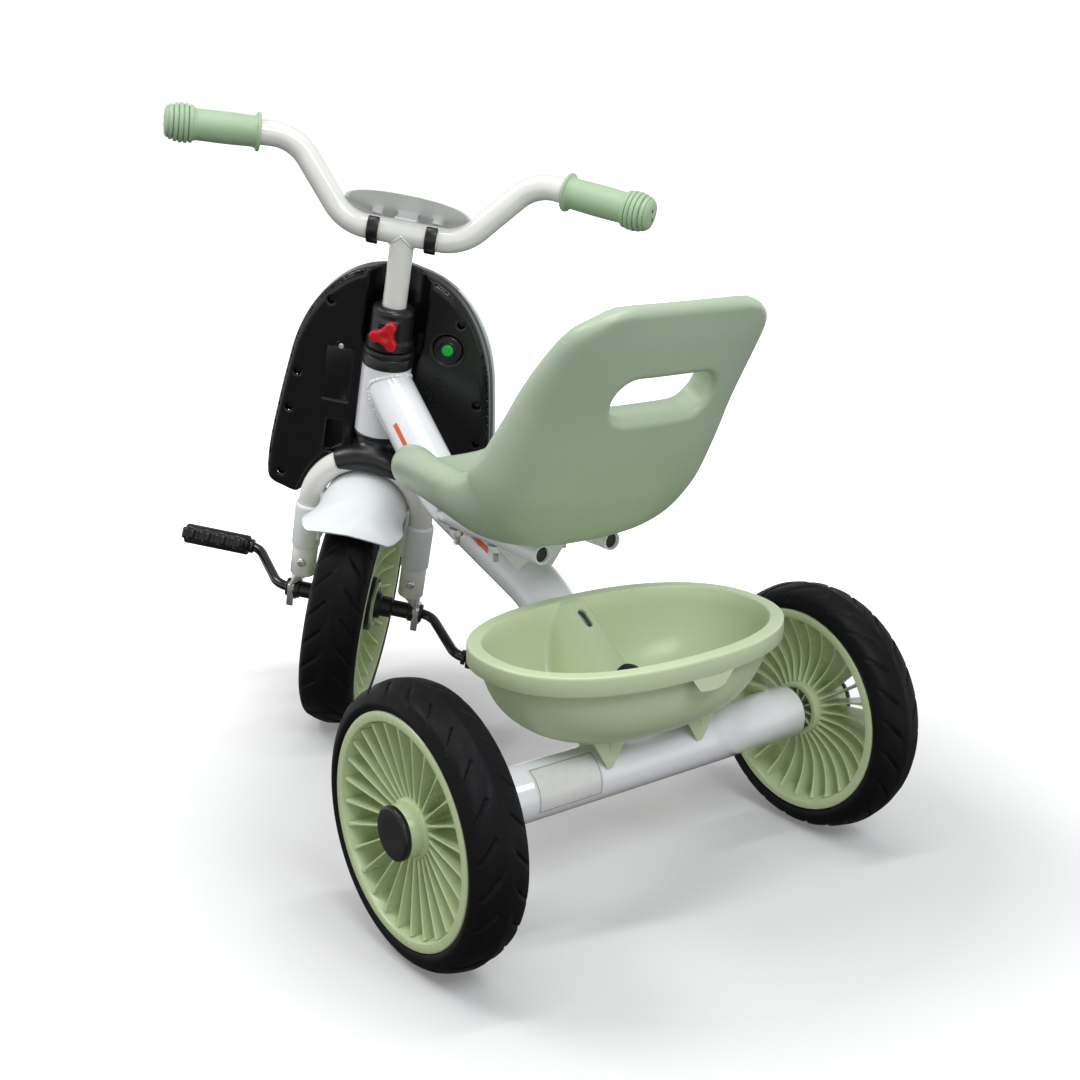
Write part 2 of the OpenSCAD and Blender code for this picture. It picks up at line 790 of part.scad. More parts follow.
function shield_mid(i) = smooth_at(shield_half, i / shield_steps * (len(shield_half) - 1));
// The whole outline, counter-clockwise as the rider sees it
shield_loop = concat([for (i = [0 : shield_steps]) shield_mid(i)],
    [for (i = [shield_steps - 1 : -1 : 1]) [-shield_mid(i)[0], shield_mid(i)[1]]]);

// A plate of the shield's outline between two distances from the steering axis
module shield_plate(e_from, e_to) {
    translate([0, e_to, 0]) rotate([90, 0, 0]) linear_extrude(e_to - e_from) polygon(shield_loop);
}

module shield_back() {
    color(black) steered() difference() {
        union() {
            shield_plate(shield_e - 3, shield_e);
            intersection() {
                translate([0, 0, 150]) cylinder(r = channel_r + 3, h = 400);
                translate([-40, shield_e - 30, 277]) cube([80, 29, 163]);
            }
        }
        translate([0, 0, 150]) cylinder(r = channel_r, h = 400);
        translate(button_at) rotate([90, 0, 0]) translate([0, 0, -2]) cylinder(r = 12, h = 20);
        translate([-47, shield_e, 350]) rotate([90, 0, 0]) for (i = [-2 : 2])
            for (j = [-2 : 2])
                if (i * i + j * j < 7)
                    translate([i * 5.2, j * 5.2, -1]) cylinder(r = 1.2, h = 20, $fn = 16);
        translate([35.5, shield_e - 8, 319.5]) cube([25, 20, 54]);
        for (p = shield_holes)
            translate([p[0], shield_e, p[1]]) rotate([90, 0, 0]) {
                translate([0, 0, -1]) cylinder(r = 3.2, h = 2.5);
                cylinder(r = 1.6, h = 10);
            }
    }
}

shield_holes = [[61, 417], [86, 341], [91, 303], [93, 234], [-61, 417], [-86, 341], [-91, 303], [-93, 234]];

module shield_screws() {
    color(zinc) steered() for (p = shield_holes)
        translate([p[0], shield_e - 1.5, p[1]]) rotate([90, 0, 0]) {
            cylinder(r = 1.5, h = 12);
            translate([0, 0, -1.2]) cylinder(r = 2.9, h = 1.2);
        }
}

// Front shell: rings of the outline that shrink towards a point in front of the wheel
bulge_mid = [0, 345];
bulge_rings = [[0, 1], [12, 0.99], [24, 0.95], [36, 0.86], [46, 0.72], [53, 0.52], [57, 0.28]];

function shield_ring(k, grow, e) = [for (p = shield_loop)
    let (d = p - bulge_mid, q = bulge_mid + d * (k + grow / norm(d))) [q[0], e, q[1]]];

module shield_front() {
    n = len(bulge_rings) - 1;
    back = shield_e - 3;
    color(white) steered() difference() {
        ringed(concat(
            [for (i = [n : -1 : 0]) shield_ring(bulge_rings[i][1], -2, back - bulge_rings[i][0] * 0.95)],
            [for (i = [0 : n]) shield_ring(bulge_rings[i][1], 0.8, back - bulge_rings[i][0])]),
            [bulge_mid[0], back - 58 * 0.95, bulge_mid[1]],
            [bulge_mid[0], back - 58, bulge_mid[1]]);
        for (s = [-1, 1])
            translate([s * 38, shield_e - 30, 372]) rotate([90, 0, 0]) cylinder(r = 19, h = 60);
    }
}

// Grey band that lies on the front shell along its upper edge
trim_from = 24;

module shield_trim() {
    count = 2 * shield_steps - 2 * trim_from;
    back = shield_e - 3.3;
    outer = [for (b = [0 : 3]) shield_ring(bulge_rings[b][1], 2.6, back - bulge_rings[b][0] - (b > 1 ? 1 : 0))];
    inner = [for (b = [0 : 3]) shield_ring(bulge_rings[b][1], 0.9, back - bulge_rings[b][0] - (b > 1 ? 0.1 : 0))];
    color([0.55, 0.56, 0.57]) steered()
        slab([for (i = [0 : count]) [for (b = [0 : 3]) outer[b][trim_from + i]]],
            [for (i = [0 : count]) [for (b = [0 : 3]) inner[b][trim_from + i]]]);
}

module headlight() {
    translate([38, shield_e - 30, 372]) rotate([90, 0, 0]) difference() {
        union() {
            cylinder(r = 19, h = 26);
            translate([0, 0, 26]) cylinder(r1 = 19, r2 = 14, h = 4);
        }
        translate([0, 0, -1]) cylinder(r = 15, h = 24);
    }
}

module headlight_left() {
    color([0.95, 0.9, 0.7]) steered() headlight();
}

module headlight_right() {
    color([0.95, 0.9, 0.7]) steered() mirror([1, 0, 0]) headlight();
}

module battery_door() {
    color(black) steered() difference() {
        translate([35.8, shield_e - 3, 319.8]) cube([24.4, 2.6, 53.4]);
        translate([48, shield_e - 10, 368]) rotate([-90, 0, 0]) cylinder(r = 1.5, h = 20);
    }
}

module battery_door_screw() {
    color(zinc) steered() translate([48, shield_e - 4.4, 368]) rotate([-90, 0, 0]) {
        cylinder(r = 1.5, h = 4);
        translate([0, 0, 4]) cylinder(r = 2.8, h = 1.2);
    }
}

module batteries() {
    color([0.75, 0.6, 0.3]) steered() for (z = [321, 346.5])
        translate([41, shield_e - 12, z]) {
            cylinder(r = 7, h = 24);
            translate([14.4, 0, 0]) cylinder(r = 7, h = 24);
        }
}

module music_board() {
    color([0.1, 0.4, 0.2]) steered() translate([-72, shield_e - 13, 372]) cube([34, 1.6, 38]);
}

module speaker() {
    color(black) steered() translate([-47, shield_e - 3.2, 350]) rotate([90, 0, 0]) {
        cylinder(r = 16, h = 4);
        translate([0, 0, 4]) cylinder(r1 = 13, r2 = 8, h = 8);
    }
}

button_at = [-52, shield_e, 391];

module button_bezel() {
    color(black) steered() translate(button_at) rotate([90, 0, 0]) difference() {
        union() {
            translate([0, 0, -1.5]) cylinder(r = 12, h = 6);
            translate([0, 0, -2]) cylinder(r = 13.5, h = 2);
        }
        translate([0, 0, -4]) cylinder(r = 5.6, h = 20);
        translate([0, 0, -4]) cylinder(r = 9, h = 3.2);
    }
}

module music_button() {
    color([0.1, 0.75, 0.25]) steered() translate(button_at) rotate([90, 0, 0])
        translate([0, 0, -3]) cylinder(r = 5.5, h = 11);
}

// ---------------------------------------------------------------- handlebar

bar_bend = [107, -14, bar_s + 62.5];
bar_bends = [40, 42, 42, 40];

function bar_route(extra) =
    let (tip = bar_bend + (33 + grip_l + extra) * unit([cos(grip_sweep), sin(grip_sweep), 0.017]),
         half = [[52, 0, bar_s], bar_bend, tip])
    concat([for (i = [2 : -1 : 0]) [-half[i][0], half[i][1], half[i][2]]], half);

module handlebar_tube() {
    color(cream) steered() difference() {
        bent_rod(bar_route(0), bar_bends, bar_r);
        bent_rod(bar_route(1), bar_bends, bar_r - wall);
    }
}

module stem_tube() {
    color(cream) steered() difference() {
        translate([0, 0, 352]) cylinder(r = bar_r, h = bar_s - 352);
        translate([0, 0, 350]) cylinder(r = bar_r - wall, h = 200);
        translate([0, 0, bar_s]) x_cylinder(bar_r, -60, 60);
    }
}

module grip_shape() {
    rotate_extrude() difference() {
        polygon([[0, -2], [16.8, -2], [16.8, 0.5], [14, 2], [13.4, 6], [13.9, 30], [13.7, grip_l - 4],
            [15.6, grip_l], [17, grip_l + 6], [17, grip_l + 12], [15.5, grip_l + 18], [13, grip_l + 22],
            [9, grip_l + 24], [0, grip_l + 24.5]]);
        translate([-1, -10]) square([bar_r + 1, grip_l + 10]);
    }
}

module grip_placed() {
    along = unit([cos(grip_sweep), sin(grip_sweep), 0.017]);
    translate(bar_bend + 33 * along)
        rotate([0, acos(along[2]), atan2(along[1], along[0])]) grip_shape();
}

module grip_left() {
    color(green) steered() grip_placed();
}

module grip_right() {
    color(green) steered() mirror([1, 0, 0]) grip_placed();
}

// Frame of the dash plate: Z is the outward (forward and up) normal
module dash_frame() {
    translate([0, -9.5, 519.5]) rotate([35, 0, 0]) children();
}

dash_skin = [[0.3, 11], [0.54, 10.3], [0.72, 9], [0.84, 7], [0.915, 4], [0.955, 0],
    [1, 0], [0.96, 4.6], [0.88, 8.4], [0.75, 11.2], [0.55, 12.8], [0.3, 13.6]];

function dash_ring(k, z) = [for (i = [0 : 47]) let (t = i * 7.5)
    [super_x(57 * k, t, 2.3), super_y(26 * k, t, 2.2), z]];

module dash_plate() {
    color(white) steered() difference() {
        dash_frame() {
            ringed([for (p = dash_skin) dash_ring(p[0], p[1])], [0, 0, 11.3], [0, 0, 14]);
            for (x = [-27.2, 27.2])
                translate([x, -5.5, -20]) cylinder(r = 4.7, h = 32.5);
            translate([-10.5, -7, -20]) cube([21, 3, 33]);
        }
        translate([0, 0, bar_s]) x_cylinder(bar_r, -22, 22);
        translate([0, 0, bar_s]) x_cylinder(14.2, 20, 40);
        translate([0, 0, bar_s]) x_cylinder(14.2, -40, -20);
    }
}

module bar_clips() {
    color(black) steered() mirror_x() translate([0, 0, bar_s]) difference() {
        x_cylinder(14.2, 22.5, 32);
        x_cylinder(bar_r, 20, 36);
    }
}

head_tube();
main_tube();
rear_axle_tube();
seat_rails();
seat_gussets();
upper_head_bush();
lower_head_bush();
axle_tube_plugs();
rear_axle_rod();
rod_nuts();
seat();
seat_bolts();
basket();
basket_stud();
basket_knob();
steerer_tube();
fork_tube();
crown_cover();
fender();
leg_screws();
axle_holders();
axle_bushes();
clamp_collar();
clamp_screw();
clamp_knob();
shield_back();
shield_front();
shield_trim();
headlight_left();
headlight_right();
shield_screws();
battery_door();
battery_door_screw();
batteries();
music_board();
speaker();
button_bezel();
music_button();
handlebar_tube();
stem_tube();
grip_left();
grip_right();
dash_plate();
bar_clips();
front_tyre();
front_rim();
rim_flanges();
crank();
pedal_left();
pedal_right();
rear_tyre_left();
rear_rim_left();
hub_cap_left();
rear_tyre_right();
rear_rim_right();
hub_cap_right();
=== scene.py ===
"""A small child's tricycle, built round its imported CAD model, in a plain pale studio."""
import json
import math
from functools import reduce

import bmesh
import bpy
import numpy as np
from mathutils import Matrix, Vector


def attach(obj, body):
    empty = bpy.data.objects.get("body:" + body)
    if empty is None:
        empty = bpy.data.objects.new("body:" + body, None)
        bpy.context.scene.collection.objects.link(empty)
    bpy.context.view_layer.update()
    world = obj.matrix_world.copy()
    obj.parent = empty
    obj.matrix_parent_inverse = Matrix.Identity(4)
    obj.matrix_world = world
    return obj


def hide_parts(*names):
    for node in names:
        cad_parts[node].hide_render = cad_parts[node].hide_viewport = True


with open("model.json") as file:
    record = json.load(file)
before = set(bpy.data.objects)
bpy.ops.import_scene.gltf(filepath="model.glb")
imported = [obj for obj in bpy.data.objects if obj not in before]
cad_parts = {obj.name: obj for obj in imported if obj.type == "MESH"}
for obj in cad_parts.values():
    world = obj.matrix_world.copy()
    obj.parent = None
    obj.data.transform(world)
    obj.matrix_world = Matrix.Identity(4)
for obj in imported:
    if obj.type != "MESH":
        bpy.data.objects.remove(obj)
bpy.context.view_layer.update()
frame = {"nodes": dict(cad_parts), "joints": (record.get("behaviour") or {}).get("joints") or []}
joints = {j["name"]: j for j in frame["joints"]}

# ------------------------------------------------------------------ frames


def axes_frame(z, x, origin):
    """4x4 in metres: z along z, x as near x as can be, at origin."""
    z = Vector(z).normalized()
    x = Vector(x)
    x = (x - z * x.dot(z)).normalized()
    y = z.cross(x)
    m = Matrix.Identity(4)
    for i, v in enumerate((x, y, z, Vector(origin))):
        for k in range(3):
            m[k][i] = v[k]
    return np.array(m)


steering = joints["steering"]
# local frames: STEER has Z up the steering axis and X along the front axle, RAKE is STEER with the
# wheel straight ahead, and BASE lies on the floor under the rear axle; +Y points back in all three
STEER = axes_frame(steering["axis"], joints["front_wheel_spin"]["axis"], steering["pos_m"])
RAKE = axes_frame(steering["axis"], (1, 0, 0), steering["pos_m"])
rear_at = joints["left_rear_wheel_spin"]["pos_m"]
BASE = axes_frame((0, 0, 1), (1, 0, 0), (0, rear_at[1], 0))


def to_local(points_m, m):
    """Row-frame metres to a local frame's millimetres."""
    p = np.asarray(points_m, float).reshape(-1, 3)
    return (p - m[:3, 3]) @ m[:3, :3] * 1000


def span(node, m):
    """Lowest and highest corner of a CAD node in a local frame, in millimetres."""
    me = frame["nodes"][node].data
    co = np.empty(len(me.vertices) * 3)
    me.vertices.foreach_get("co", co)
    p = to_local(co.reshape(-1, 3), m)
    return p.min(0), p.max(0)


def shifted(m, offset):
    """The local frame m moved by a local offset in millimetres."""
    out = m.copy()
    out[:3, 3] = m[:3, 3] + m[:3, :3] @ (np.asarray(offset, float) / 1000)
    return out


def turned(m, axis, degrees):
    """The local frame m turned about one of its own axes."""
    out = m.copy()
    out[:3, :3] = m[:3, :3] @ np.array(Matrix.Rotation(math.radians(degrees), 3, axis))
    return out


# ------------------------------------------------------------------ meshes


def piece(name, geo, m, mat, body, replaces=(), angle=38, bevel=0.0, grounded=False):
    """One finished object from (vertices in local mm, faces), riding on a body."""
    v, f = geo
    v = np.asarray(v, float)
    w = v / 1000 @ m[:3, :3].T + m[:3, 3]
    if grounded:
        w[:, 2] = np.maximum(w[:, 2], 0)
    me = bpy.data.meshes.new(name)
    me.from_pydata(w.tolist(), [], [tuple(int(i) for i in q) for q in f])
    bm = bmesh.new()
    bm.from_mesh(me)
    bmesh.ops.remove_doubles(bm, verts=bm.verts, dist=1e-6)
    bmesh.ops.recalc_face_normals(bm, faces=bm.faces)
    bm.to_mesh(me)
    bm.free()
    ob = bpy.data.objects.new(name, me)
    bpy.context.scene.collection.objects.link(ob)
    if bevel:
        mod = ob.modifiers.new("soft_edges", "BEVEL")
        mod.width = bevel / 1000
        mod.segments = 3
        mod.limit_method = "ANGLE"
        mod.angle_limit = math.radians(35)
        mod.harden_normals = False
        bake(ob)
    smooth(ob, angle)
    ob.data.materials.append(mat)
    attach(ob, body)
    if replaces:
        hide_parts(*replaces)
    return ob


def bake(ob):
    """Applies the modifiers."""
    dg = bpy.context.evaluated_depsgraph_get()
    me = bpy.data.meshes.new_from_object(ob.evaluated_get(dg))
    ob.modifiers.clear()
    old = ob.data
    ob.data = me
    bpy.data.meshes.remove(old)


def smooth(ob, angle):
    """Smooth shading, with edges sharper than the angle kept."""
    me = ob.data
    me.polygons.foreach_set("use_smooth", [True] * len(me.polygons))
    me.set_sharp_from_angle(angle=math.radians(angle))


def join(*geos):
    """One mesh of several."""
    vs, fs, n = [], [], 0
    for v, f in geos:
        v = np.asarray(v, float)
        vs.append(v)
        fs += [tuple(i + n for i in q) for q in f]
        n += len(v)
    return np.concatenate(vs), fs


def moved(geo, offset=(0, 0, 0), turn=None):
    """A mesh turned about the origin and then moved."""
    v = np.asarray(geo[0], float)
    if turn is not None:
        v = v @ np.asarray(turn, float).T
    return v + np.asarray(offset, float), geo[1]


def rot(axis, degrees):
    return np.array(Matrix.Rotation(math.radians(degrees), 3, axis))


def mirrored_x(geo):
    v = np.asarray(geo[0], float) * [-1, 1, 1]
    return v, [tuple(reversed(q)) for q in geo[1]]


def both(geo):
    """A mesh with its mirror image in X."""
    return join(geo, mirrored_x(geo))


def rings(rows, closed_rows=False, closed_cols=True):
    """Quads through a grid of points: rows of equal length."""
    rows = [np.asarray(r, float) for r in rows]
    n, k = len(rows[0]), len(rows)
    v = np.concatenate(rows)
    f = []
    for i in range(k if closed_rows else k - 1):
        a, b = i * n, (i + 1) % k * n
        for j in range(n if closed_cols else n - 1):
            q = (j + 1) % n
            f.append((a + j, a + q, b + q, b + j))
    return v, f


def capped(rows):
    """Rings with a face across each end."""
    v, f = rings(rows)
    n = len(rows[0])
    return v, f + [tuple(range(n - 1, -1, -1)), tuple(range(len(v) - n, len(v)))]


def poled(rows, first, last):
    """Rings with a fan round a point at each end."""
    v, f = rings(rows)
    n, c = len(rows[0]), len(v)
    last_ring = c - n
    f += [(j, c, (j + 1) % n) for j in range(n)]
    f += [(last_ring + (j + 1) % n, c + 1, last_ring + j) for j in range(n)]
    return np.vstack([v, first, last]), f


def lathe(profile, n=96, closed=False):
    """(radius, height) points turned about Z. A radius of 0 is a pole."""
    v, f, ids = [], [], []
    t = np.arange(n) * 2 * math.pi / n
    for r, h in profile:
        if r < 1e-6:
            ids.append([len(v)] * n)
            v.append((0, 0, h))
        else:
            ids.append(list(range(len(v), len(v) + n)))
            v += list(zip(r * np.cos(t), r * np.sin(t), np.full(n, h)))
    k = len(profile)
    for i in range(k if closed else k - 1):
        a, b = ids[i], ids[(i + 1) % k]
        for j in range(n):
            q = [a[j], a[(j + 1) % n], b[(j + 1) % n], b[j]]
            q = [x for x, y in zip(q, q[1:] + q[:1]) if x != y]
            if len(q) > 2:
                f.append(tuple(q))
    return np.array(v, float), f


def rounded(points, radii, steps=6, closed=True):
    """A polygon of 2D points with its corners rounded."""
    pts = [np.asarray(p, float) for p in points]
    n = len(pts)
    out = []
    for i, p in enumerate(pts):
        r = radii[i] if isinstance(radii, (list, tuple)) else radii
        if (not closed and i in (0, n - 1)) or r <= 0:
            out.append(p)
            continue
        a, b = pts[i - 1] - p, pts[(i + 1) % n] - p
        la, lb = np.linalg.norm(a), np.linalg.norm(b)
        a, b = a / la, b / lb
        cosine = np.clip(a @ b, -0.9999, 0.9999)
        half = math.acos(cosine) / 2
        cut = min(r / math.tan(half), la * 0.49, lb * 0.49)
        r = cut * math.tan(half)
        c = p + (a + b) / np.linalg.norm(a + b) * (r / math.sin(half))
        s, e = p + a * cut - c, p + b * cut - c
        turn = math.atan2(s[0] * e[1] - s[1] * e[0], s @ e)
        for k in range(steps + 1):
            t = turn * k / steps
            out.append(c + np.array([s[0] * math.cos(t) - s[1] * math.sin(t),
                                     s[0] * math.sin(t) + s[1] * math.cos(t)]))
    return [tuple(p) for p in out]


def prism(outline, lo, hi):
    """A flat outline in x, y, standing from z lo to z hi."""
    n = len(outline)
    v = [(x, y, lo) for x, y in outline] + [(x, y, hi) for x, y in outline]
    f = [tuple(range(n - 1, -1, -1)), tuple(range(n, 2 * n))]
    f += [(i, (i + 1) % n, n + (i + 1) % n, n + i) for i in range(n)]
    return np.array(v, float), f


def block(lo, hi, r=1.0, steps=3):
    """A box with every edge rounded."""
    lo, hi = np.asarray(lo, float), np.asarray(hi, float)
    r = min(r, *((hi - lo) / 2.01))
    out = []
    arc = [(math.sin(t), 1 - math.cos(t)) for t in np.linspace(0, math.pi / 2, steps + 1)]
    levels = [(lo[2] + r * b, r * (1 - a)) for a, b in arc] + [(hi[2] - r * b, r * (1 - a)) for a,
                                                               b in reversed(arc)]
    for z, inset in levels:
        a, b = lo[:2] + inset, hi[:2] - inset
        ring = rounded([a, (b[0], a[1]), b, (a[0], b[1])], max(r - inset, 0.02), steps)
        out.append([(x, y, z) for x, y in ring])
    return capped(out)


def path_through(points, radii, step=4.0):
    """Points along a line bent at each inner point by that radius."""
    pts = [np.asarray(p, float) for p in points]
    out = [pts[0]]
    for i in range(1, len(pts) - 1):
        a, b = pts[i - 1] - pts[i], pts[i + 1] - pts[i]
        la, lb = np.linalg.norm(a), np.linalg.norm(b)
        a, b = a / la, b / lb
        half = math.acos(np.clip(a @ b, -0.99999, 0.99999)) / 2
        cut = radii[i - 1] / math.tan(half)
        c = pts[i] + (a + b) / np.linalg.norm(a + b) * (radii[i - 1] / math.sin(half))
        s, e = pts[i] + a * cut - c, pts[i] + b * cut - c
        turn = math.pi - 2 * half
        axis = np.cross(s, e)
        axis /= np.linalg.norm(axis)
        k = max(3, int(radii[i - 1] * turn / step))
        for j in range(k + 1):
            t = turn * j / k
            out.append(c + s * math.cos(t) + np.cross(axis, s) * math.sin(t))
    out.append(pts[-1])
    return np.array(out)


def resample(path, step):
    """The same line with its points about a step apart."""
    d = np.r_[0, np.cumsum(np.linalg.norm(np.diff(path, axis=0), axis=1))]
    n = max(2, int(round(d[-1] / step)) + 1)
    t = np.linspace(0, d[-1], n)
    return np.stack([np.interp(t, d, path[:, i]) for i in range(3)], 1)


def sweep(path, radius, n=40, caps=True, lip=0.0):
    """A round tube along points. radius is a number or one per point; lip rounds its ends."""
    path = np.asarray(path, float)
    k = len(path)
    rad = np.full(k, float(radius)) if np.isscalar(radius) else np.asarray(radius, float)
    tan = np.gradient(path, axis=0)
    tan /= np.linalg.norm(tan, axis=1)[:, None]
    side = np.cross(tan[0], [0, 0, 1.0])
    if np.linalg.norm(side) < 1e-3:
        side = np.cross(tan[0], [0, 1.0, 0])
    side /= np.linalg.norm(side)
    rows = []
    t = np.arange(n) * 2 * math.pi / n
    ca, sa = np.cos(t)[:, None], np.sin(t)[:, None]

    def ring(p, u, w, r):
        return p + r * (ca * u + sa * w)

    for i in range(k):
        side = side - tan[i] * (side @ tan[i])
        side /= np.linalg.norm(side)
        up = np.cross(tan[i], side)
        if i == 0 and lip:
            rows += [ring(path[0] + tan[0] * lip * (1 - math.cos(a)), side, up,
                          rad[0] - lip * (1 - math.sin(a))) for a in np.linspace(0, math.pi / 2, 4)[:-1]]
            rows.append(ring(path[0] + tan[0] * lip, side, up, rad[0]))
        elif i == k - 1 and lip:
            rows.append(ring(path[-1] - tan[-1] * lip, side, up, rad[-1]))
            rows += [ring(path[-1] - tan[-1] * lip * (1 - math.sin(a)), side, up,
                          rad[-1] - lip * (1 - math.cos(a))) for a in np.linspace(0, math.pi / 2, 4)[1:]]
        else:
            rows.append(ring(path[i], side, up, rad[i]))
    return capped(rows) if caps else rings(rows)


def smooth_at(table, t):
    """Rows of a table at t from 0 to len - 1, on a smooth curve; t may be an array."""
    table = np.asarray(table, float)
    t = np.atleast_1d(np.asarray(t, float))
    n = len(table)
    i = np.clip(np.floor(t).astype(int), 0, n - 2)
    f = (t - i)[:, None]
    a, b = table[np.maximum(i - 1, 0)], table[i]
    c, d = table[i + 1], table[np.minimum(i + 2, n - 1)]
    return 0.5 * (2 * b + (c - a) * f + (2 * a - 5 * b + 4 * c - d) * f**2 + (3 * b - a - 3 * c + d) * f**3)


# ---------------------------------------------------- fields turned into meshes


def nets(field, lo, h):
    """The zero surface of a field on a regular grid, inside negative, as quads."""
    s = field < 0
    nx, ny, nz = field.shape
    corner = [(i, j, k) for i in (0, 1) for j in (0, 1) for k in (0, 1)]
    count = sum(s[i : nx - 1 + i, j : ny - 1 + j, k : nz - 1 + k].astype(np.int8) for i, j, k in corner)
    mask = (count > 0) & (count < 8)
    cells = np.argwhere(mask)
    ids = np.full(mask.shape, -1, np.int64)
    ids[mask] = np.arange(len(cells))
    total = np.zeros((len(cells), 3))
    hits = np.zeros(len(cells))
    for a in corner:
        for ax in range(3):
            if a[ax]:
                continue
            b = list(a)
            b[ax] = 1
            fa = field[cells[:, 0] + a[0], cells[:, 1] + a[1], cells[:, 2] + a[2]]
            fb = field[cells[:, 0] + b[0], cells[:, 1] + b[1], cells[:, 2] + b[2]]
            cross = (fa < 0) != (fb < 0)
            t = fa[cross] / (fa[cross] - fb[cross])
            p = np.tile(np.array(a, float), (cross.sum(), 1))
            p[:, ax] += t
            total[cross] += p
            hits[cross] += 1
    v = np.asarray(lo, float) + h * (cells + total / hits[:, None])
    faces = []
    for ax in range(3):
        o, q = [i for i in range(3) if i != ax]
        sl = [slice(1, None)] * 3
        sl[ax] = slice(0, None)
        a = [slice(1, -1)] * 3
        b = [slice(1, -1)] * 3
        a[ax] = slice(0, -1)
        b[ax] = slice(1, None)
        flip = s[tuple(a)] != s[tuple(b)]
        at = np.argwhere(flip)
        at[:, o] += 1
        at[:, q] += 1
        inside = s[at[:, 0], at[:, 1], at[:, 2]]

        def cell(do, dq):
            c = at.copy()
            c[:, o] -= do
            c[:, q] -= dq
            return ids[c[:, 0], c[:, 1], c[:, 2]]

        quad = np.stack([cell(1, 1), cell(0, 1), cell(0, 0), cell(1, 0)], 1)
        swap = inside if ax != 1 else ~inside
        quad[~swap] = quad[~swap][:, ::-1]
        faces.append(quad)
    return v, np.concatenate(faces).tolist()


def field_grid(lo, hi, h):
    """X, Y and Z at the points of a grid with step h."""
    lo, hi = np.asarray(lo, float), np.asarray(hi, float)
    n = np.ceil((hi - lo) / h).astype(int) + 1
    return np.meshgrid(*[np.asarray(lo[i] + h * np.arange(n[i]), np.float32) for i in range(3)], indexing="ij")


def blend_in(a, b, k):
    """Union of two fields with a fillet of about k."""
    h = np.clip(0.5 + 0.5 * (b - a) / k, 0, 1)
    return b + (a - b) * h - k * h * (1 - h)


def cut_out(a, b, k):
    """Field a less field b, with the new edge rounded by about k."""
    return -blend_in(-a, b, k)


def meet(*fields):
    """What lies inside all the fields."""
    return reduce(np.maximum, fields)


def round_meet(a, b, k):
    """What lies inside both fields, with the edge rounded by k."""
    a, b = a + k, b + k
    return np.minimum(np.maximum(a, b), 0) + np.hypot(np.maximum(a, 0), np.maximum(b, 0)) - k


def relax(geo, rounds=2, keep=0.5):
    """Evens out a mesh made of quads."""
    v, f = np.asarray(geo[0], float), geo[1]
    q = np.asarray(f)
    e = np.concatenate([q[:, [0, 1]], q[:, [1, 2]], q[:, [2, 3]], q[:, [3, 0]]])
    n = len(v)
    deg = np.bincount(e.ravel(), minlength=n)[:, None]
    for i in range(rounds * 2):
        s = np.zeros_like(v)
        for c in range(3):
            s[:, c] = np.bincount(e[:, 0], v[e[:, 1], c], n) + np.bincount(e[:, 1], v[e[:, 0], c], n)
        v = v + (s / deg - v) * (keep if i % 2 == 0 else -keep * 1.04)
    return v, f


# ------------------------------------------------------------------ materials


def new_material(name):
    """An empty material with its node tree, shader and coordinates."""
    m = bpy.data.materials.new(name)
    m.use_nodes = True
    nt = m.node_tree
    p = nt.nodes["Principled BSDF"]
    tc = nt.nodes.new("ShaderNodeTexCoord")
    return m, nt, p, tc


def noise(nt, tc, scale, detail=3.0, rough=0.5, stretch=None):
    """Noise in the object's own coordinates."""
    n = nt.nodes.new("ShaderNodeTexNoise")
    n.inputs["Scale"].default_value = scale
    n.inputs["Detail"].default_value = detail
    n.inputs["Roughness"].default_value = rough
    if stretch:
        mp = nt.nodes.new("ShaderNodeMapping")
        mp.inputs["Scale"].default_value = stretch
        nt.links.new(tc.outputs["Object"], mp.inputs["Vector"])
        nt.links.new(mp.outputs["Vector"], n.inputs["Vector"])
    else:
        nt.links.new(tc.outputs["Object"], n.inputs["Vector"])
    return n.outputs["Fac"]


def ranged(nt, value, lo, hi, a=0.3, b=0.7):
    """A value from a to b, mapped to lo to hi."""
    r = nt.nodes.new("ShaderNodeMapRange")
    r.inputs["From Min"].default_value = a
    r.inputs["From Max"].default_value = b
    r.inputs["To Min"].default_value = lo
    r.inputs["To Max"].default_value = hi
    nt.links.new(value, r.inputs["Value"])
    return r.outputs["Result"]


def mixed(nt, fac, a, b):
    """Two colours mixed; each is a tuple or a socket."""
    m = nt.nodes.new("ShaderNodeMix")
    m.data_type = "RGBA"
    nt.links.new(fac, m.inputs["Factor"])
    for key, value in (("A", a), ("B", b)):
        socket = [s for s in m.inputs if s.name == key and s.type == "RGBA"][0]
        if isinstance(value, tuple):
            socket.default_value = (*value, 1)
        else:
            nt.links.new(value, socket)
    return [s for s in m.outputs if s.type == "RGBA"][0]


def bumped(nt, p, heights):
    """Several heights, each (value, distance in mm, strength), as one chain of bumps."""
    last = None
    for value, distance, strength in heights:
        b = nt.nodes.new("ShaderNodeBump")
        b.inputs["Distance"].default_value = distance / 1000
        b.inputs["Strength"].default_value = strength
        nt.links.new(value, b.inputs["Height"])
        if last:
            nt.links.new(last, b.inputs["Normal"])
        last = b.outputs["Normal"]
    nt.links.new(last, p.inputs["Normal"])


def shade(c, k):
    """A colour made darker or lighter."""
    return tuple(min(1.0, x * k) for x in c)


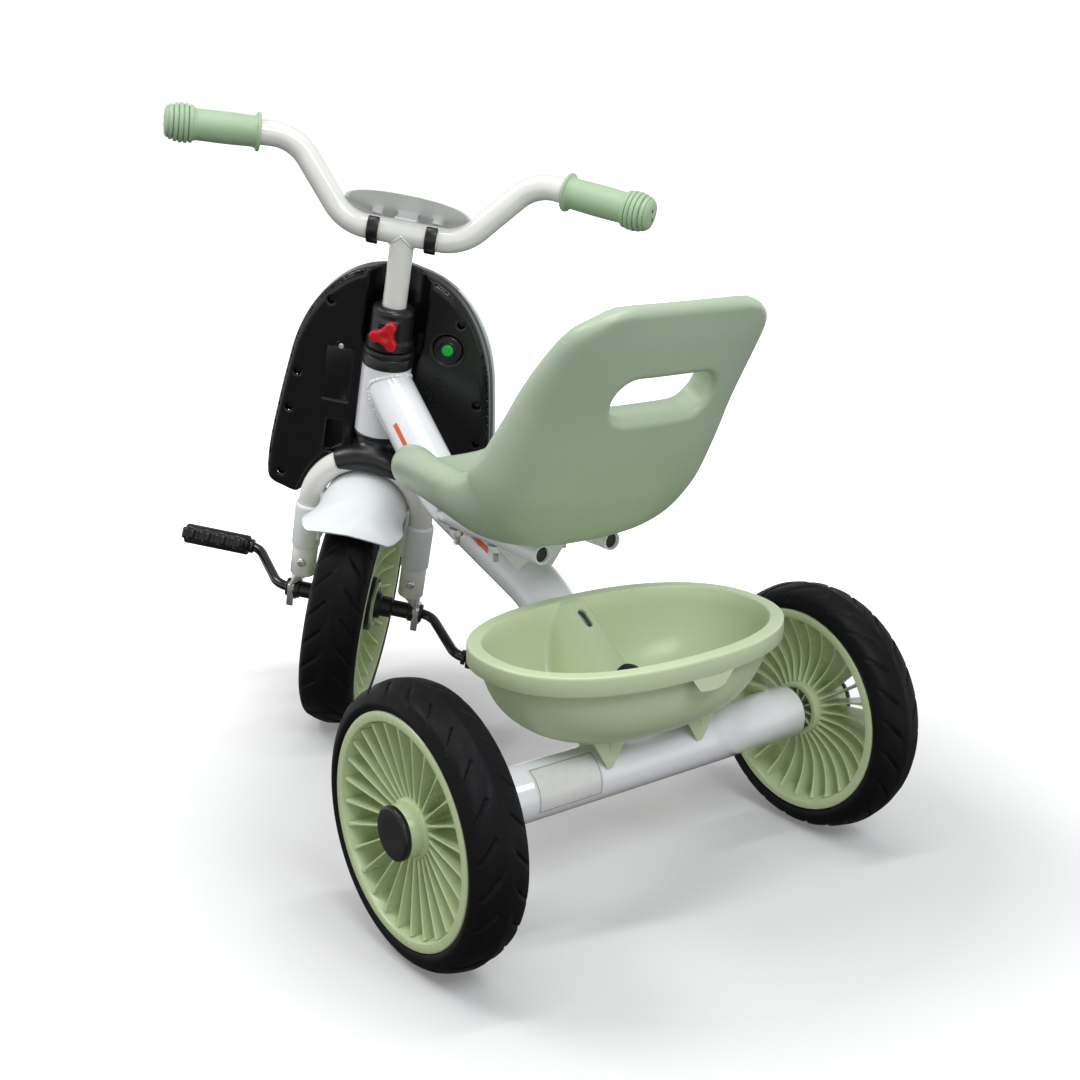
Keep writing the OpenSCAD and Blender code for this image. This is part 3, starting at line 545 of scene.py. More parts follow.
def finish(name, colour, rough, spread=0.06, vary=0.06, tint=None, bumps=(), coat=0.0, coat_rough=0.1,
           metallic=0.0, sss=0.0, cloud=9.0, specular=0.5, stretch=None):
    """A procedural finish: slow colour drift, uneven gloss and one or more scales of relief."""
    m, nt, p, tc = new_material(name)
    slow = noise(nt, tc, cloud, 4.0, 0.55)
    fine = noise(nt, tc, cloud * 14, 3.0, 0.6)
    other = tint or shade(colour, 1 + vary)
    base = mixed(nt, ranged(nt, slow, 0, 1), shade(colour, 1 - vary), other)
    base = mixed(nt, ranged(nt, fine, 0, 0.35), base, shade(colour, 1 - vary * 1.5))
    nt.links.new(base, p.inputs["Base Color"])
    gloss = noise(nt, tc, cloud * 5, 4.0, 0.6, stretch)
    nt.links.new(ranged(nt, gloss, max(rough - spread, 0.02), rough + spread), p.inputs["Roughness"])
    p.inputs["Metallic"].default_value = metallic
    p.inputs["Coat Weight"].default_value = coat
    p.inputs["Coat Roughness"].default_value = coat_rough
    p.inputs["Specular IOR Level"].default_value = specular
    if sss:
        p.inputs["Subsurface Weight"].default_value = sss
        p.inputs["Subsurface Radius"].default_value = (1.0, 1.0, 0.8)
        p.inputs["Subsurface Scale"].default_value = 0.003
    if bumps:
        bumped(nt, p, [(noise(nt, tc, s, d, 0.55, stretch), mm, k) for s, d, mm, k in bumps])
    return m


WHITE_PAINT = finish("white_paint", (0.80, 0.81, 0.84), 0.16, 0.04, 0.025,
                     bumps=[(90, 2, 0.05, 0.5), (700, 2, 0.01, 0.3)], coat=0.8, coat_rough=0.05, cloud=6)
CREAM_PAINT = finish("cream_paint", (0.78, 0.775, 0.74), 0.2, 0.05, 0.03,
                     bumps=[(110, 2, 0.05, 0.5), (800, 2, 0.01, 0.3)], coat=0.6, coat_rough=0.07, cloud=6)
WHITE_PLASTIC = finish("white_plastic", (0.77, 0.80, 0.81), 0.33, 0.06, 0.02, bumps=[(900, 3, 0.03, 0.4)],
                       sss=0.05, cloud=7)
DASH_WHITE = finish("dash_white", (0.92, 0.93, 0.93), 0.33, 0.06, 0.02, bumps=[(900, 3, 0.03, 0.4)], sss=0.3,
                    cloud=7)
SEAT_GREEN = finish("seat_green", (0.43, 0.54, 0.385), 0.36, 0.06, 0.05, tint=(0.45, 0.55, 0.41),
                    bumps=[(28, 3, 0.35, 0.45), (1500, 3, 0.05, 0.5)], sss=0.06, cloud=5)
BASKET_GREEN = finish("basket_green", (0.57, 0.67, 0.42), 0.34, 0.05, 0.035, tint=(0.59, 0.685, 0.45),
                      bumps=[(40, 3, 0.2, 0.3), (1300, 3, 0.04, 0.5)], sss=0.08, cloud=5)
RIM_GREEN = finish("rim_green", (0.55, 0.66, 0.37), 0.27, 0.05, 0.035, tint=(0.57, 0.67, 0.40),
                   bumps=[(60, 2, 0.03, 0.2), (1200, 2, 0.02, 0.4)], sss=0.05, cloud=8)
GRIP_GREEN = finish("grip_green", (0.37, 0.51, 0.33), 0.5, 0.06, 0.05,
                    bumps=[(1100, 4, 0.08, 0.6), (90, 3, 0.1, 0.3)], sss=0.05, cloud=16)
BLACK = finish("black_plastic", (0.006, 0.006, 0.007), 0.34, 0.07, 0.2, bumps=[(1400, 3, 0.04, 0.5)], cloud=12)
SHIELD_BLACK = finish("shield_black", (0.004, 0.004, 0.005), 0.22, 0.04, 0.2,
                      bumps=[(1700, 3, 0.015, 0.3), (22, 2, 0.08, 0.25)], cloud=8)
SATIN_BLACK = finish("crank_black", (0.005, 0.005, 0.006), 0.24, 0.06, 0.2, bumps=[(160, 3, 0.03, 0.4)],
                     coat=0.4, cloud=20)
TYRE = finish("tyre_black", (0.004, 0.004, 0.005), 0.52, 0.07, 0.25,
              bumps=[(420, 4, 0.07, 0.5), (1800, 2, 0.03, 0.4)], cloud=10, specular=0.14)
ZINC = finish("zinc", (0.80, 0.81, 0.80), 0.33, 0.09, 0.10, bumps=[(500, 3, 0.03, 0.5)], metallic=1.0, cloud=60)
RED = finish("knob_red", (0.51, 0.007, 0.013), 0.28, 0.05, 0.06, bumps=[(900, 2, 0.03, 0.4)], sss=0.05,
             cloud=30)
BUTTON_GREEN = finish("button_green", (0.013, 0.40, 0.06), 0.3, 0.04, 0.05, bumps=[(900, 2, 0.02, 0.4)],
                      cloud=40)
TRIM_GREY = finish("trim_grey", (0.26, 0.28, 0.29), 0.28, 0.05, 0.04, bumps=[(1000, 2, 0.02, 0.4)], cloud=14)
LAMP = finish("lamp", (0.80, 0.78, 0.66), 0.12, 0.03, 0.03, bumps=[(300, 2, 0.05, 0.4)], coat=1.0, cloud=30)
ORANGE = finish("decal_orange", (0.72, 0.10, 0.02), 0.25, 0.05, 0.04, bumps=[(600, 2, 0.01, 0.3)], coat=0.6,
                cloud=30)
LABEL = finish("label", (0.72, 0.72, 0.70), 0.28, 0.06, 0.03, bumps=[(500, 2, 0.02, 0.4)], coat=0.3, cloud=20)
CELL = finish("cell", (0.45, 0.30, 0.08), 0.3, 0.05, 0.05, bumps=[(400, 2, 0.02, 0.4)], metallic=0.6, cloud=30)
BOARD = finish("board", (0.02, 0.16, 0.06), 0.4, 0.06, 0.1, bumps=[(800, 2, 0.03, 0.5)], cloud=60)
# near-black painted shade, put inside holes, bores and slots where there would only be shade
PAINTED_SHADE = finish("painted_shade_inside", (0.02, 0.02, 0.02), 0.6, 0.05, 0.2, bumps=[(600, 2, 0.02, 0.4)], cloud=20)

# ------------------------------------------------------------------ wheels

REAR_R = span("rear_tyre_left", BASE)[1][2] - rear_at[2] * 1000
lo, hi = span("rear_tyre_left", BASE)
REAR_W = hi[0] - lo[0]
lo, hi = span("front_tyre", STEER)
FRONT_W = hi[0] - lo[0]
AXLE = to_local(joints["front_wheel_spin"]["pos_m"], STEER)[0]
FRONT_R = hi[2] - AXLE[2]
VANES = 27
REAR_RIM_R, FRONT_RIM_R = 87.2, 100
REAR_HUB_R, FRONT_HUB_R = 22.7, 22
REAR_SLITS, FRONT_SLITS = 24, 28
X_OUT = np.array([[0, 0, 1], [1, 0, 0], [0, 1, 0]], float)  # turns a lathe's Z into X
BACK_OUT, FRONT_OUT = rot("X", -90), rot("X", 90)  # turn it into Y and -Y


def tyre_mesh(big_r, w, bead, slits):
    """A tyre about X with slanted slits on both sides of a crown ridge."""
    n, slant = 840, 1.2
    half = w / 2
    crown = []
    for t in np.linspace(-1, 1, 49):
        y = t * (half - 1.6)
        a = abs(t)
        drop = 2.4 * a + 2.2 * a**2 + 3.4 * a**5 + 2.0 * a**16
        crown.append((y, big_r - drop))
    edge = [(half - 0.6, big_r - 12.2), (half, big_r - 13.6), (half - 0.05, big_r - 15.5),
            (half - 0.5, bead + 2.4), (half - 0.9, bead + 0.9), (half - 2.2, bead + 0.2), (half - 3, bead)]
    inner = [(half * 0.5, bead), (-half * 0.5, bead)]
    prof = [(-y, r) for y, r in reversed(edge)] + crown + edge + inner
    ang = np.arange(n) * 2 * math.pi / n
    rows = []
    pitch = 2 * math.pi * big_r / slits
    arc = ang * big_r
    for y, r in prof:
        a = abs(y)
        depth = np.zeros(n)
        if r > big_r - 11.5:
            side = 0.0 if y > 0 else 0.5
            # a slit from near the ridge to the shoulder
            u = (arc / pitch + side + slant * a / pitch) % 1.0 - 0.5
            along = np.maximum(np.maximum(half * 0.34 - a, a - (half - 4.4)), 0)
            d = np.hypot(np.abs(u * pitch) * 0.64, along) - 1.35
            depth += 1.1 * np.clip(0.5 - d / 0.7, 0, 1)
            # a shallow step between slits
            u2 = (arc / pitch + side + 0.5 + slant * a / pitch) % 1.0
            across = np.clip((a - 1.5) / 4, 0, 1)
            depth += 0.75 * np.clip(1 - u2 / 0.5, 0, 1) * across * np.clip((half * 0.8 - a) / 4, 0, 1)
        rr = r - depth
        rows.append(np.stack([np.full(n, y), rr * np.cos(ang), rr * np.sin(ang)], 1))
    return rings(rows, closed_rows=True)


def vaned_rim(r, w, hub_r, nose, count, start, t=1.9):
    """A moulded rim about X: a ring with lips, thin vanes and a stepped hub. +X is outside."""
    half = w / 2
    ring = lathe([(r, -half + 1.2), (r, half - 1.2), (r - 0.6, half - 0.35), (r - 1.6, half), (r - 6.2, half),
                  (r - 7.2, half - 0.3), (r - 7.8, half - 1.2), (r - 9.2, half - 9), (r - 9.6, 2),
                  (r - 9.6, -2), (r - 9.2, -half + 9), (r - 7.8, -half + 1.2), (r - 7.2, -half + 0.3),
                  (r - 6.2, -half), (r - 1.6, -half), (r - 0.6, -half + 0.35)], 216, closed=True)
    geo = [moved(ring, turn=X_OUT)]
    hub = lathe([(0, -half * 0.86), (5.4, -half * 0.86), (5.6, -half * 0.86 + 0.2), (5.6, -half * 0.5),
                 (hub_r - 4.5, -half * 0.5), (hub_r - 4.2, -half * 0.86 - 0.4), (hub_r - 1, -half * 0.88),
                 (hub_r, -half * 0.86), (hub_r, half * 0.52), (hub_r - 0.5, half * 0.56),
                 (hub_r - 1.6, half * 0.58), (hub_r - 2.5, half * 0.6), (hub_r - 2.8, half * 0.64),
                 (hub_r - 2.9, nose - 0.8), (hub_r - 3.4, nose - 0.1), (hub_r - 4.4, nose), (0, nose)], 96)
    geo.append(moved(hub, turn=X_OUT))
    outer, inner = r - 8.9, hub_r - 0.6
    for i in range(count):
        a = math.radians(start + i * 360 / count)
        rows = []
        for s in np.linspace(0, 1, 9):
            rr = inner + (outer - inner) * s
            front = half * (0.50 + 0.40 * s**0.9)
            back = -half * (0.62 + 0.22 * s - 0.62 * math.sin(math.pi * s) * 0.55)
            # a fillet where the vane meets the hub and the ring
            fillet = 0.9 * (1 - s) ** 6 + 1.0 * s**10
            th = t * (0.62 + 0.2 * s) / 2 + fillet
            e = 0.45
            rows.append([(front, rr, -th + e), (front, rr, th - e), (front - e, rr, th), (back + e, rr, th),
                         (back, rr, th - e), (back, rr, -th + e), (back + e, rr, -th), (front - e, rr, -th)])
        v, f = rings(rows)
        c, sn = math.cos(a), math.sin(a)
        v = np.stack([v[:, 0], v[:, 1] * c - v[:, 2] * sn, v[:, 1] * sn + v[:, 2] * c], 1)
        geo.append((v, f))
    # small ribs round the inner hub
    rib = block((-half * 0.86, 5.2, -0.7), (-half * 0.5, hub_r - 4.3, 0.7), 0.3, 2)
    geo += [moved(rib, turn=rot("X", a)) for a in range(0, 360, 30)]
    return join(*geo)


def rear_wheel(side):
    """The tyre, rim and hub cap of one rear wheel."""
    at = joints[f"{side}_rear_wheel_spin"]["pos_m"]
    m = axes_frame((0, 0, 1), (1 if side == "left" else -1, 0, 0), at)
    body = f"rear_wheel_{side}"
    piece(f"tyre_rear_{side}", tyre_mesh(REAR_R, REAR_W, REAR_RIM_R, REAR_SLITS), m, TYRE, body,
          [f"rear_tyre_{side}"], 50, grounded=True)
    piece(f"rim_rear_{side}", vaned_rim(REAR_RIM_R, REAR_W - 1, REAR_HUB_R, REAR_W / 2, VANES, 119), m,
          RIM_GREEN, body, [f"rear_rim_{side}"], 35)
    half = REAR_W / 2
    cap = lathe([(17.2, half - 0.3), (19.2, half - 0.3), (20.0, half + 0.3), (20.2, half + 1.0),
                 (20.2, half + 3.2), (19.9, half + 4.0), (19.0, half + 4.7), (17.6, half + 5.0),
                 (10, half + 4.8), (0, half + 4.7)], 96)
    piece(f"cap_rear_{side}", moved(cap, turn=X_OUT), m, BLACK, body, [f"hub_cap_{side}"], 60)


rear_wheel("left")
rear_wheel("right")

wheel_frame = STEER.copy()
wheel_frame[:3, 3] = np.array(joints["front_wheel_spin"]["pos_m"])
face = FRONT_W * 0.28  # half width over the front hub
piece("tyre_front", tyre_mesh(FRONT_R, FRONT_W, FRONT_RIM_R, FRONT_SLITS), wheel_frame, TYRE, "front_wheel",
      ["front_tyre"], 50, grounded=True)
piece("rim_front", vaned_rim(FRONT_RIM_R, FRONT_W - 1, FRONT_HUB_R, face, VANES, 10), wheel_frame, RIM_GREEN,
      "front_wheel", ["front_rim"], 35)
disc = lathe([(0, face), (26.0, face), (26.6, face + 0.6), (26.6, face + 4.6), (25.9, face + 5.3),
              (23.5, face + 5.5), (22.0, face + 4.6), (15.4, face + 4.2), (14.2, face + 4.2), (13.6, face + 6),
              (13.2, face + 11.4), (12.4, face + 12.3), (10.8, face + 12.6), (10.4, face + 13.4),
              (10.2, face + 22), (9.6, face + 22.8), (0, face + 23)], 72)
piece("hub_flanges", both(moved(disc, turn=X_OUT)), wheel_frame, BLACK, "front_wheel", ["rim_flanges"],
      40)

# ------------------------------------------------------------------ crank and pedals

left_pedal = to_local(joints["left_pedal_turn"]["pos_m"], STEER)[0] - AXLE
CRANK_DIR = np.array([0, left_pedal[1], left_pedal[2]])
THROW = np.linalg.norm(CRANK_DIR)
CRANK_DIR /= THROW
crank_frame = axes_frame(STEER[:3, :3] @ np.cross([1, 0, 0], CRANK_DIR), STEER[:3, 0],
                         joints["front_wheel_spin"]["pos_m"])
ROD_R, ROD_END, ROD_BENDS, ROD_BEND_R = 4.75, 186, (77, 112), 20
COLLAR_X, COLLAR_W, COLLAR_R = 117.5, 4.0, 7.2
half_rod = [(ROD_BENDS[0], 0, 0), (ROD_BENDS[1], THROW, 0), (ROD_END, THROW, 0)]
route = path_through([(-x, -y, 0) for x, y, z in reversed(half_rod)] + half_rod, [ROD_BEND_R] * 4, 1.2)
rod = sweep(resample(route, 2.0), ROD_R, 28, lip=0.6)
w, r = COLLAR_W, COLLAR_R
collar = lathe([(4.7, 0), (r - 0.6, 0), (r, 0.6), (r, w - 0.6), (r - 0.6, w), (4.7, w)], 40)
collar = moved(collar, (COLLAR_X, 0, 0), X_OUT)
collars = [moved(mirrored_x(collar), (0, -THROW, 0)), moved(collar, (0, THROW, 0))]
piece("crank_rod", join(rod, *collars), crank_frame, SATIN_BLACK, "front_wheel", ["crank"], 50)


def pedal_mesh():
    """A moulded pedal along X: a core, two rails of blocks and four webs. Its flat faces Z."""
    parts = []
    core = lathe([(4.9, 122.6), (9.2, 122.6), (10, 123.4), (10, 187), (9.4, 187.8), (8.2, 188), (7.4, 187.4),
                  (0, 187.2)], 48)
    parts.append(moved(core, turn=X_OUT))
    for s in (-1, 1):
        for i in range(4):
            x = 124.6 + i * 15.9
            a, b = sorted((s * 17.5, s * 28.0))
            parts.append(block((x, a, -6.2), (x + 13.4, b, 6.2), 4.0, 5))
            a, b = sorted((s * 19.5, s * 28.6))
            parts.append(block((x + 5.4, a, -6.8), (x + 8.0, b, 6.8), 1.0, 3))
        a, b = sorted((s * 15.5, s * 25.5))
        parts.append(block((124.5, a, -5.8), (186.5, b, 5.8), 2.6, 4))
    for x in (124.6, 144.2, 163.8, 181.9):
        parts.append(block((x, -24, -5.6), (x + 4.4, 24, 5.6), 1.2, 3))
    return join(*parts)


PEDAL_MID = 0.155  # from the crank's middle to a pedal's middle, in metres
for side, s in (("left", 1), ("right", -1)):
    at = joints[f"{side}_pedal_turn"]["pos_m"]
    # the flat lies along (0.866, 0.5) in the fork's frame, as in the CAD
    y = STEER[:3, :3] @ np.array([0, 0.866, 0.5])
    x = STEER[:3, 0] * s
    z = np.cross(x, y)
    m = axes_frame(z, x, np.array(at) - x * PEDAL_MID)
    piece(f"pedal_block_{side}", pedal_mesh(), m, BLACK, f"pedal_{side}", [f"pedal_{side}"],
          45)

# ------------------------------------------------------------------ frame tubes

AXLE_Z = rear_at[2] * 1000
lo, hi = span("rear_axle_tube", BASE)
TUBE_R = (hi[2] - lo[2]) / 2
axle_half = hi[0]
outer = lathe([(TUBE_R - 1.6, -axle_half + 10), (TUBE_R - 1.6, -axle_half + 0.4), (TUBE_R - 1.3, -axle_half),
               (TUBE_R - 0.4, -axle_half), (TUBE_R, -axle_half + 0.5), (TUBE_R, 0), (TUBE_R, axle_half - 0.5),
               (TUBE_R - 0.4, axle_half), (TUBE_R - 1.3, axle_half), (TUBE_R - 1.6, axle_half - 0.4),
               (TUBE_R - 1.6, axle_half - 10)], 96, closed=True)
piece("axle_tube", moved(outer, (0, 0, AXLE_Z), X_OUT), BASE, WHITE_PAINT, "frame", ["rear_axle_tube"],
      40)


def band(x0, x1, a0, a1, r, n=40):
    """A thin sheet round the axle tube, from x0 to x1 and from angle a0 (0 back, 90 up) to a1."""
    rows = []
    for rr in (r, r + 0.12):
        for x in (x0, x1):
            rows.append([(x, rr * math.cos(a), AXLE_Z + rr * math.sin(a)) for a in np.radians(np.linspace(a0,
                                                                                                          a1,
                                                                                                          n))])
    rows = [rows[0], rows[1], rows[3], rows[2]]
    v, f = rings(rows, closed_rows=True, closed_cols=False)
    m = len(rows[0])
    return v, f + [(0, m, 2 * m, 3 * m), (m - 1, 4 * m - 1, 3 * m - 1, 2 * m - 1)]


piece("blank_label", band(50, 112, -22, 74, TUBE_R + 0.02), BASE, LABEL, "frame", (), 60)
piece("label_border",
      join(band(52, 110, -20, -18.5, TUBE_R + 0.15, 4), band(52, 110, 70.5, 72, TUBE_R + 0.15, 4),
           band(52, 52.6, -20, 72, TUBE_R + 0.15), band(109.4, 110, -20, 72, TUBE_R + 0.15)), BASE, TRIM_GREY,
      "frame", (), 60)

# the main tube: its corners from the head tube to the axle tube, before bending
MAIN = [(0, -376, 348.5), (0, -273, 256), (0, -132, 210), (0, 0, 117)]
MAIN_R, MAIN_N = 22.0, 64
COPE_R, COPE_RING = 21.7, 14
main_path = resample(path_through(MAIN, [90, 100], 3.0), 3.0)
head_axis = RAKE[:3, 2]
head_origin = to_local(RAKE[:3, 3], BASE)[0]


def outside_head(p):
    """Distance of points from the head tube's axis."""
    d = p - head_origin
    along = d @ head_axis
    return np.linalg.norm(d - along[:, None] * head_axis, axis=1)


v, f = sweep(main_path, MAIN_R, MAIN_N, caps=False)
# the upper end is coped to the head tube, so that the bore for the steering stays free
v = v.reshape(-1, MAIN_N, 3)
steps = np.linspace(0, 90, 900)[:, None]
ahead = main_path[0] - main_path[8]
ahead /= np.linalg.norm(ahead)
cope = []
for q in v[COPE_RING]:
    line = q + steps * ahead
    d = outside_head(line)
    cope.append(line[np.argmax(d < COPE_R)] if (d < COPE_R).any() else line[np.argmin(d)])
cope = np.array(cope)
joint = [cope * (1 - k) + v[COPE_RING] * k for k in (0, 0.25, 0.5, 0.75)]
v, f = rings(joint + list(v[COPE_RING:]))
piece("main_tube_body", (v, f + [tuple(range(len(v) - MAIN_N, len(v)))]), BASE, WHITE_PAINT, "frame",
      ["main_tube"], 40)


def weld(points, r=1.7, seed=1):
    """A weld bead along a closed loop of points."""
    rng = np.random.default_rng(seed)
    pts = np.asarray(points, float)
    pts = np.vstack([pts, pts[:1]])
    d = np.r_[0, np.cumsum(np.linalg.norm(np.diff(pts, axis=0), axis=1))]
    n = int(d[-1] / 0.9)
    t = np.linspace(0, d[-1], n, endpoint=False)
    p = np.stack([np.interp(t, d, pts[:, i]) for i in range(3)], 1)
    rr = r * (1 + 0.16 * np.sin(t * 2 * math.pi / 3.4) + 0.08 * rng.standard_normal(n))
    tan = np.roll(p, -1, 0) - np.roll(p, 1, 0)
    tan /= np.linalg.norm(tan, axis=1)[:, None]
    c = p.mean(0)
    out = p - c
    out -= tan * (out * tan).sum(1)[:, None]
    out /= np.linalg.norm(out, axis=1)[:, None]
    up = np.cross(tan, out)
    a = np.arange(12) * 2 * math.pi / 12
    rows = [p[i] + rr[i] * (np.cos(a)[:, None] * out[i] + np.sin(a)[:, None] * up[i]) for i in range(n)]
    return rings(rows, closed_rows=True)


def tube_meets(start, direction, r, distance, reach=120.0, n=96):
    """Where the side lines of a tube reach a surface, as the first point with a distance below 0."""
    d = np.asarray(direction, float)
    d /= np.linalg.norm(d)
    side = np.cross(d, [1.0, 0, 0])
    side /= np.linalg.norm(side)
    up = np.cross(d, side)
    out = []
    for a in np.arange(n) * 2 * math.pi / n:
        base = np.asarray(start, float) + r * (math.cos(a) * side + math.sin(a) * up)
        q = base + np.linspace(0, reach, 400)[:, None] * d
        out.append(q[np.argmax(distance(q) < 0)])
    return out


HEAD_R = 23.0
main_dir = main_path[0] - main_path[8]
upper_seam = tube_meets(main_path[COPE_RING], main_dir, MAIN_R - 0.3, lambda q: outside_head(q) - HEAD_R)
low_dir = main_path[-1] - main_path[-9]
lower_seam = tube_meets(main_path[-18], low_dir, MAIN_R - 0.3,
                        lambda q: np.hypot(q[:, 1], q[:, 2] - AXLE_Z) - TUBE_R)
piece("welds", join(weld(upper_seam, 1.9, 3), weld(lower_seam, 2.0, 4)), BASE, WHITE_PAINT, "frame", (),
      60)

lo, hi = span("head_tube", RAKE)
S0, S1 = lo[2], hi[2]
tube = lathe([(20.4, S0 + 6), (20.4, S0 + 0.3), (20.8, S0), (22.4, S0), (23, S0 + 0.6), (23, S1 - 0.6),
              (22.4, S1), (20.8, S1), (20.4, S1 - 0.3), (20.4, S1 - 6)], 96, closed=True)
piece("head_tube_body", tube, RAKE, WHITE_PAINT, "frame", ["head_tube"], 40)
lo, hi = span("upper_head_bush", RAKE)
top = hi[2]
ring = lathe([(15.2, S1 + 1), (20, S1 + 0.1), (22.9, S1 + 0.1), (23.5, S1 + 0.7), (23.5, S1 + 9.6),
              (23.1, S1 + 10.4), (22.7, S1 + 10.7), (22.7, S1 + 11.3), (23.2, S1 + 11.7), (23.4, S1 + 12.4),
              (23.4, top - 1.4), (22.8, top - 0.4), (21.6, top), (15.2, top)], 96, closed=True)
piece("upper_bush", ring, RAKE, BLACK, "frame", ["upper_head_bush"], 40)
lo, hi = span("lower_head_bush", RAKE)
ring = lathe([(15.2, lo[2]), (22.6, lo[2]), (23.4, lo[2] + 0.8), (23.4, S0 - 0.5), (22.9, S0 - 0.05),
              (15.2, S0 - 0.05)], 96, closed=True)
piece("lower_bush", ring, RAKE, BLACK, "frame", ["lower_head_bush"], 40)

lo, hi = span("axle_tube_plugs", shifted(BASE, (0, 0, AXLE_Z)))
plug = lathe([(5.1, axle_half - 8), (TUBE_R - 1.7, axle_half - 8), (TUBE_R - 1.7, axle_half),
              (TUBE_R - 1.2, axle_half + 0.2), (TUBE_R - 1.2, axle_half + 1.0), (TUBE_R - 2, axle_half + 1.5),
              (12, axle_half + 1.5), (10, axle_half + 1.2), (9, axle_half + 1.6), (9, hi[0] - 0.6),
              (8.4, hi[0]), (5.1, hi[0])], 72, closed=True)
piece("axle_plugs", moved(both(moved(plug, turn=X_OUT)), (0, 0, AXLE_Z)), BASE, BLACK, "frame",
      ["axle_tube_plugs"], 40)

# a plain stripe on the main tube's left side
STRIPE_Y, STRIPE_ANGLES = (-332, -178), np.radians(np.linspace(18, 30, 8))
k0, k1 = [int(np.argmin(abs(main_path[:, 1] - y))) for y in STRIPE_Y]
left = np.array([1.0, 0, 0])
rows = []
for rr in (MAIN_R + 0.02, MAIN_R + 0.14):
    sheet = []
    for k in range(k0, k1 + 1):
        d = main_path[k + 1] - main_path[k - 1]
        d /= np.linalg.norm(d)
        up = np.cross(left, d)
        up *= np.sign(up[2])
        sheet.append([main_path[k] + rr * (math.cos(a) * left + math.sin(a) * up) for a in STRIPE_ANGLES])
    rows.append(np.array(sheet))
v = np.concatenate([np.concatenate(r) for r in rows])
n1, n2 = rows[0].shape[:2]
f = []
for j in range(n2 - 1):
    for i in range(n1 - 1):
        q = (i * n2 + j, (i + 1) * n2 + j, (i + 1) * n2 + j + 1, i * n2 + j + 1)
        f += [q, tuple(n1 * n2 + x for x in reversed(q))]
for j in range(n2 - 1):
    for i, rev in ((0, 0), (n1 - 1, 1)):
        q = (i * n2 + j, i * n2 + j + 1, n1 * n2 + i * n2 + j + 1, n1 * n2 + i * n2 + j)
        f.append(q[::-1] if rev else q)
for i in range(n1 - 1):
    for j, rev in ((0, 1), (n2 - 1, 0)):
        q = (i * n2 + j, (i + 1) * n2 + j, n1 * n2 + (i + 1) * n2 + j, n1 * n2 + i * n2 + j)
        f.append(q[::-1] if rev else q)
piece("side_stripe", (v, f), BASE, ORANGE, "frame", (), 60)

# seat rails, plates and bolts
lo, hi = span("seat_rails", BASE)
RAIL_R = 8.0
RAIL_X = hi[0] - RAIL_R
RAIL_Z = (lo[2] + hi[2]) / 2
long = hi[1] - lo[1]
tube = lathe([(6.4, 0.4), (6.7, 0), (7.6, 0), (8, 0.5), (8, 120), (8, long - 0.5), (7.6, long), (6.7, long),
              (6.4, long - 0.4), (6.4, 60)], 48, closed=True)
rails = [moved(tube, (s * RAIL_X, hi[1], RAIL_Z), FRONT_OUT) for s in (-1, 1)]
# a near-black disc a little inside each open rail end: painted shade in the hollow
bore = lathe([(0, 0), (6.5, 0), (6.5, 2), (0, 2)], 32)
ends = [moved(bore, (s * RAIL_X, hi[1] - 3.5, RAIL_Z), FRONT_OUT) for s in (-1, 1)]
piece("rail_bore_painted_shade", join(*ends), BASE, PAINTED_SHADE, "frame", (), 40)
piece("rails", join(*rails), BASE, WHITE_PAINT, "frame", ["seat_rails"], 40)

PLATE_Y = (-188, -138)
BOLT_Y = (-202, -145)
plates = []
for y in PLATE_Y:
    mid = np.interp(y, main_path[:, 1], main_path[:, 2])
    drop = RAIL_Z - 2
    pts = rounded([(-RAIL_X + 4, drop), (RAIL_X + 4, drop), (RAIL_X + 2, drop - 8), (17, mid + 13),
                   (15, mid + 6), (-15, mid + 6), (-17, mid + 13), (-RAIL_X - 2, drop - 6)],
                  [1, 1, 4, 2, 1, 1, 2, 4], 4)
    plates.append(moved(prism(pts, -1.5, 1.5), (0, y, 0), FRONT_OUT))
piece("seat_plates", join(*plates), BASE, WHITE_PAINT, "frame", ["seat_gussets"], 40, bevel=0.5)


def hexagon(r):
    """The corners of a nut."""
    return [(r * math.cos(math.radians(a)), r * math.sin(math.radians(a))) for a in range(30, 390, 60)]


def thread(r, z0, z1, pitch=1.0):
    """A threaded shank along Z."""
    prof = [(0, z0), (r - 0.5, z0)]
    z = z0
    while z < z1 - pitch:
        prof += [(r, z + pitch * 0.5), (r - 0.35, z + pitch)]
        z += pitch
    prof += [(r - 0.2, z1), (0, z1)]
    return lathe(prof, 32)


bolts = []
lo, hi = span("seat_bolts", BASE)
under = RAIL_Z - RAIL_R
nut = prism(rounded(hexagon(6.2), 0.6, 2), under - 5.6, under - 0.6)
wash = lathe([(0, under - 0.7), (6.8, under - 0.7), (6.8, under), (0, under)], 32)
for s in (-1, 1):
    for y in BOLT_Y:
        bolts += [moved(g, (s * RAIL_X, y, 0)) for g in (thread(3, lo[2], under), nut, wash)]
piece("seat_nuts", join(*bolts), BASE, ZINC, "frame", ["seat_bolts"], 35)

# ------------------------------------------------------------------ seat

# from the front edge to the top of the back: y and z of the middle line, half width, lip height,
# thickness, lobe depth
SEAT = [(-259, 287, 58, 10, 20, 6), (-244, 284, 70, 24, 20, 10), (-214, 281, 78, 33, 19, 9),
        (-165, 277, 88, 36, 19, 5), (-112, 273, 96, 40, 25, 0), (-66, 282, 101, 50, 25, 0),
        (-37, 308, 103, 48, 24, 0), (-18, 345, 101, 39, 26, 0), (-3, 383, 98, 28, 27, 0),
        (13, 418, 95, 17, 25, 0), (25, 442, 91, 9, 20, 0), (31, 454, 84, 4, 16, 0), (34.5, 462, 74, 1, 14, 0)]
SEAT_STEP = 2.0
SEAT_CORNER_R, SEAT_CORNER_FROM = 45, 38
SLOT_AT, SLOT_TILT, SLOT_HALF, SLOT_R = (4, 401), 24, 29, 18.5


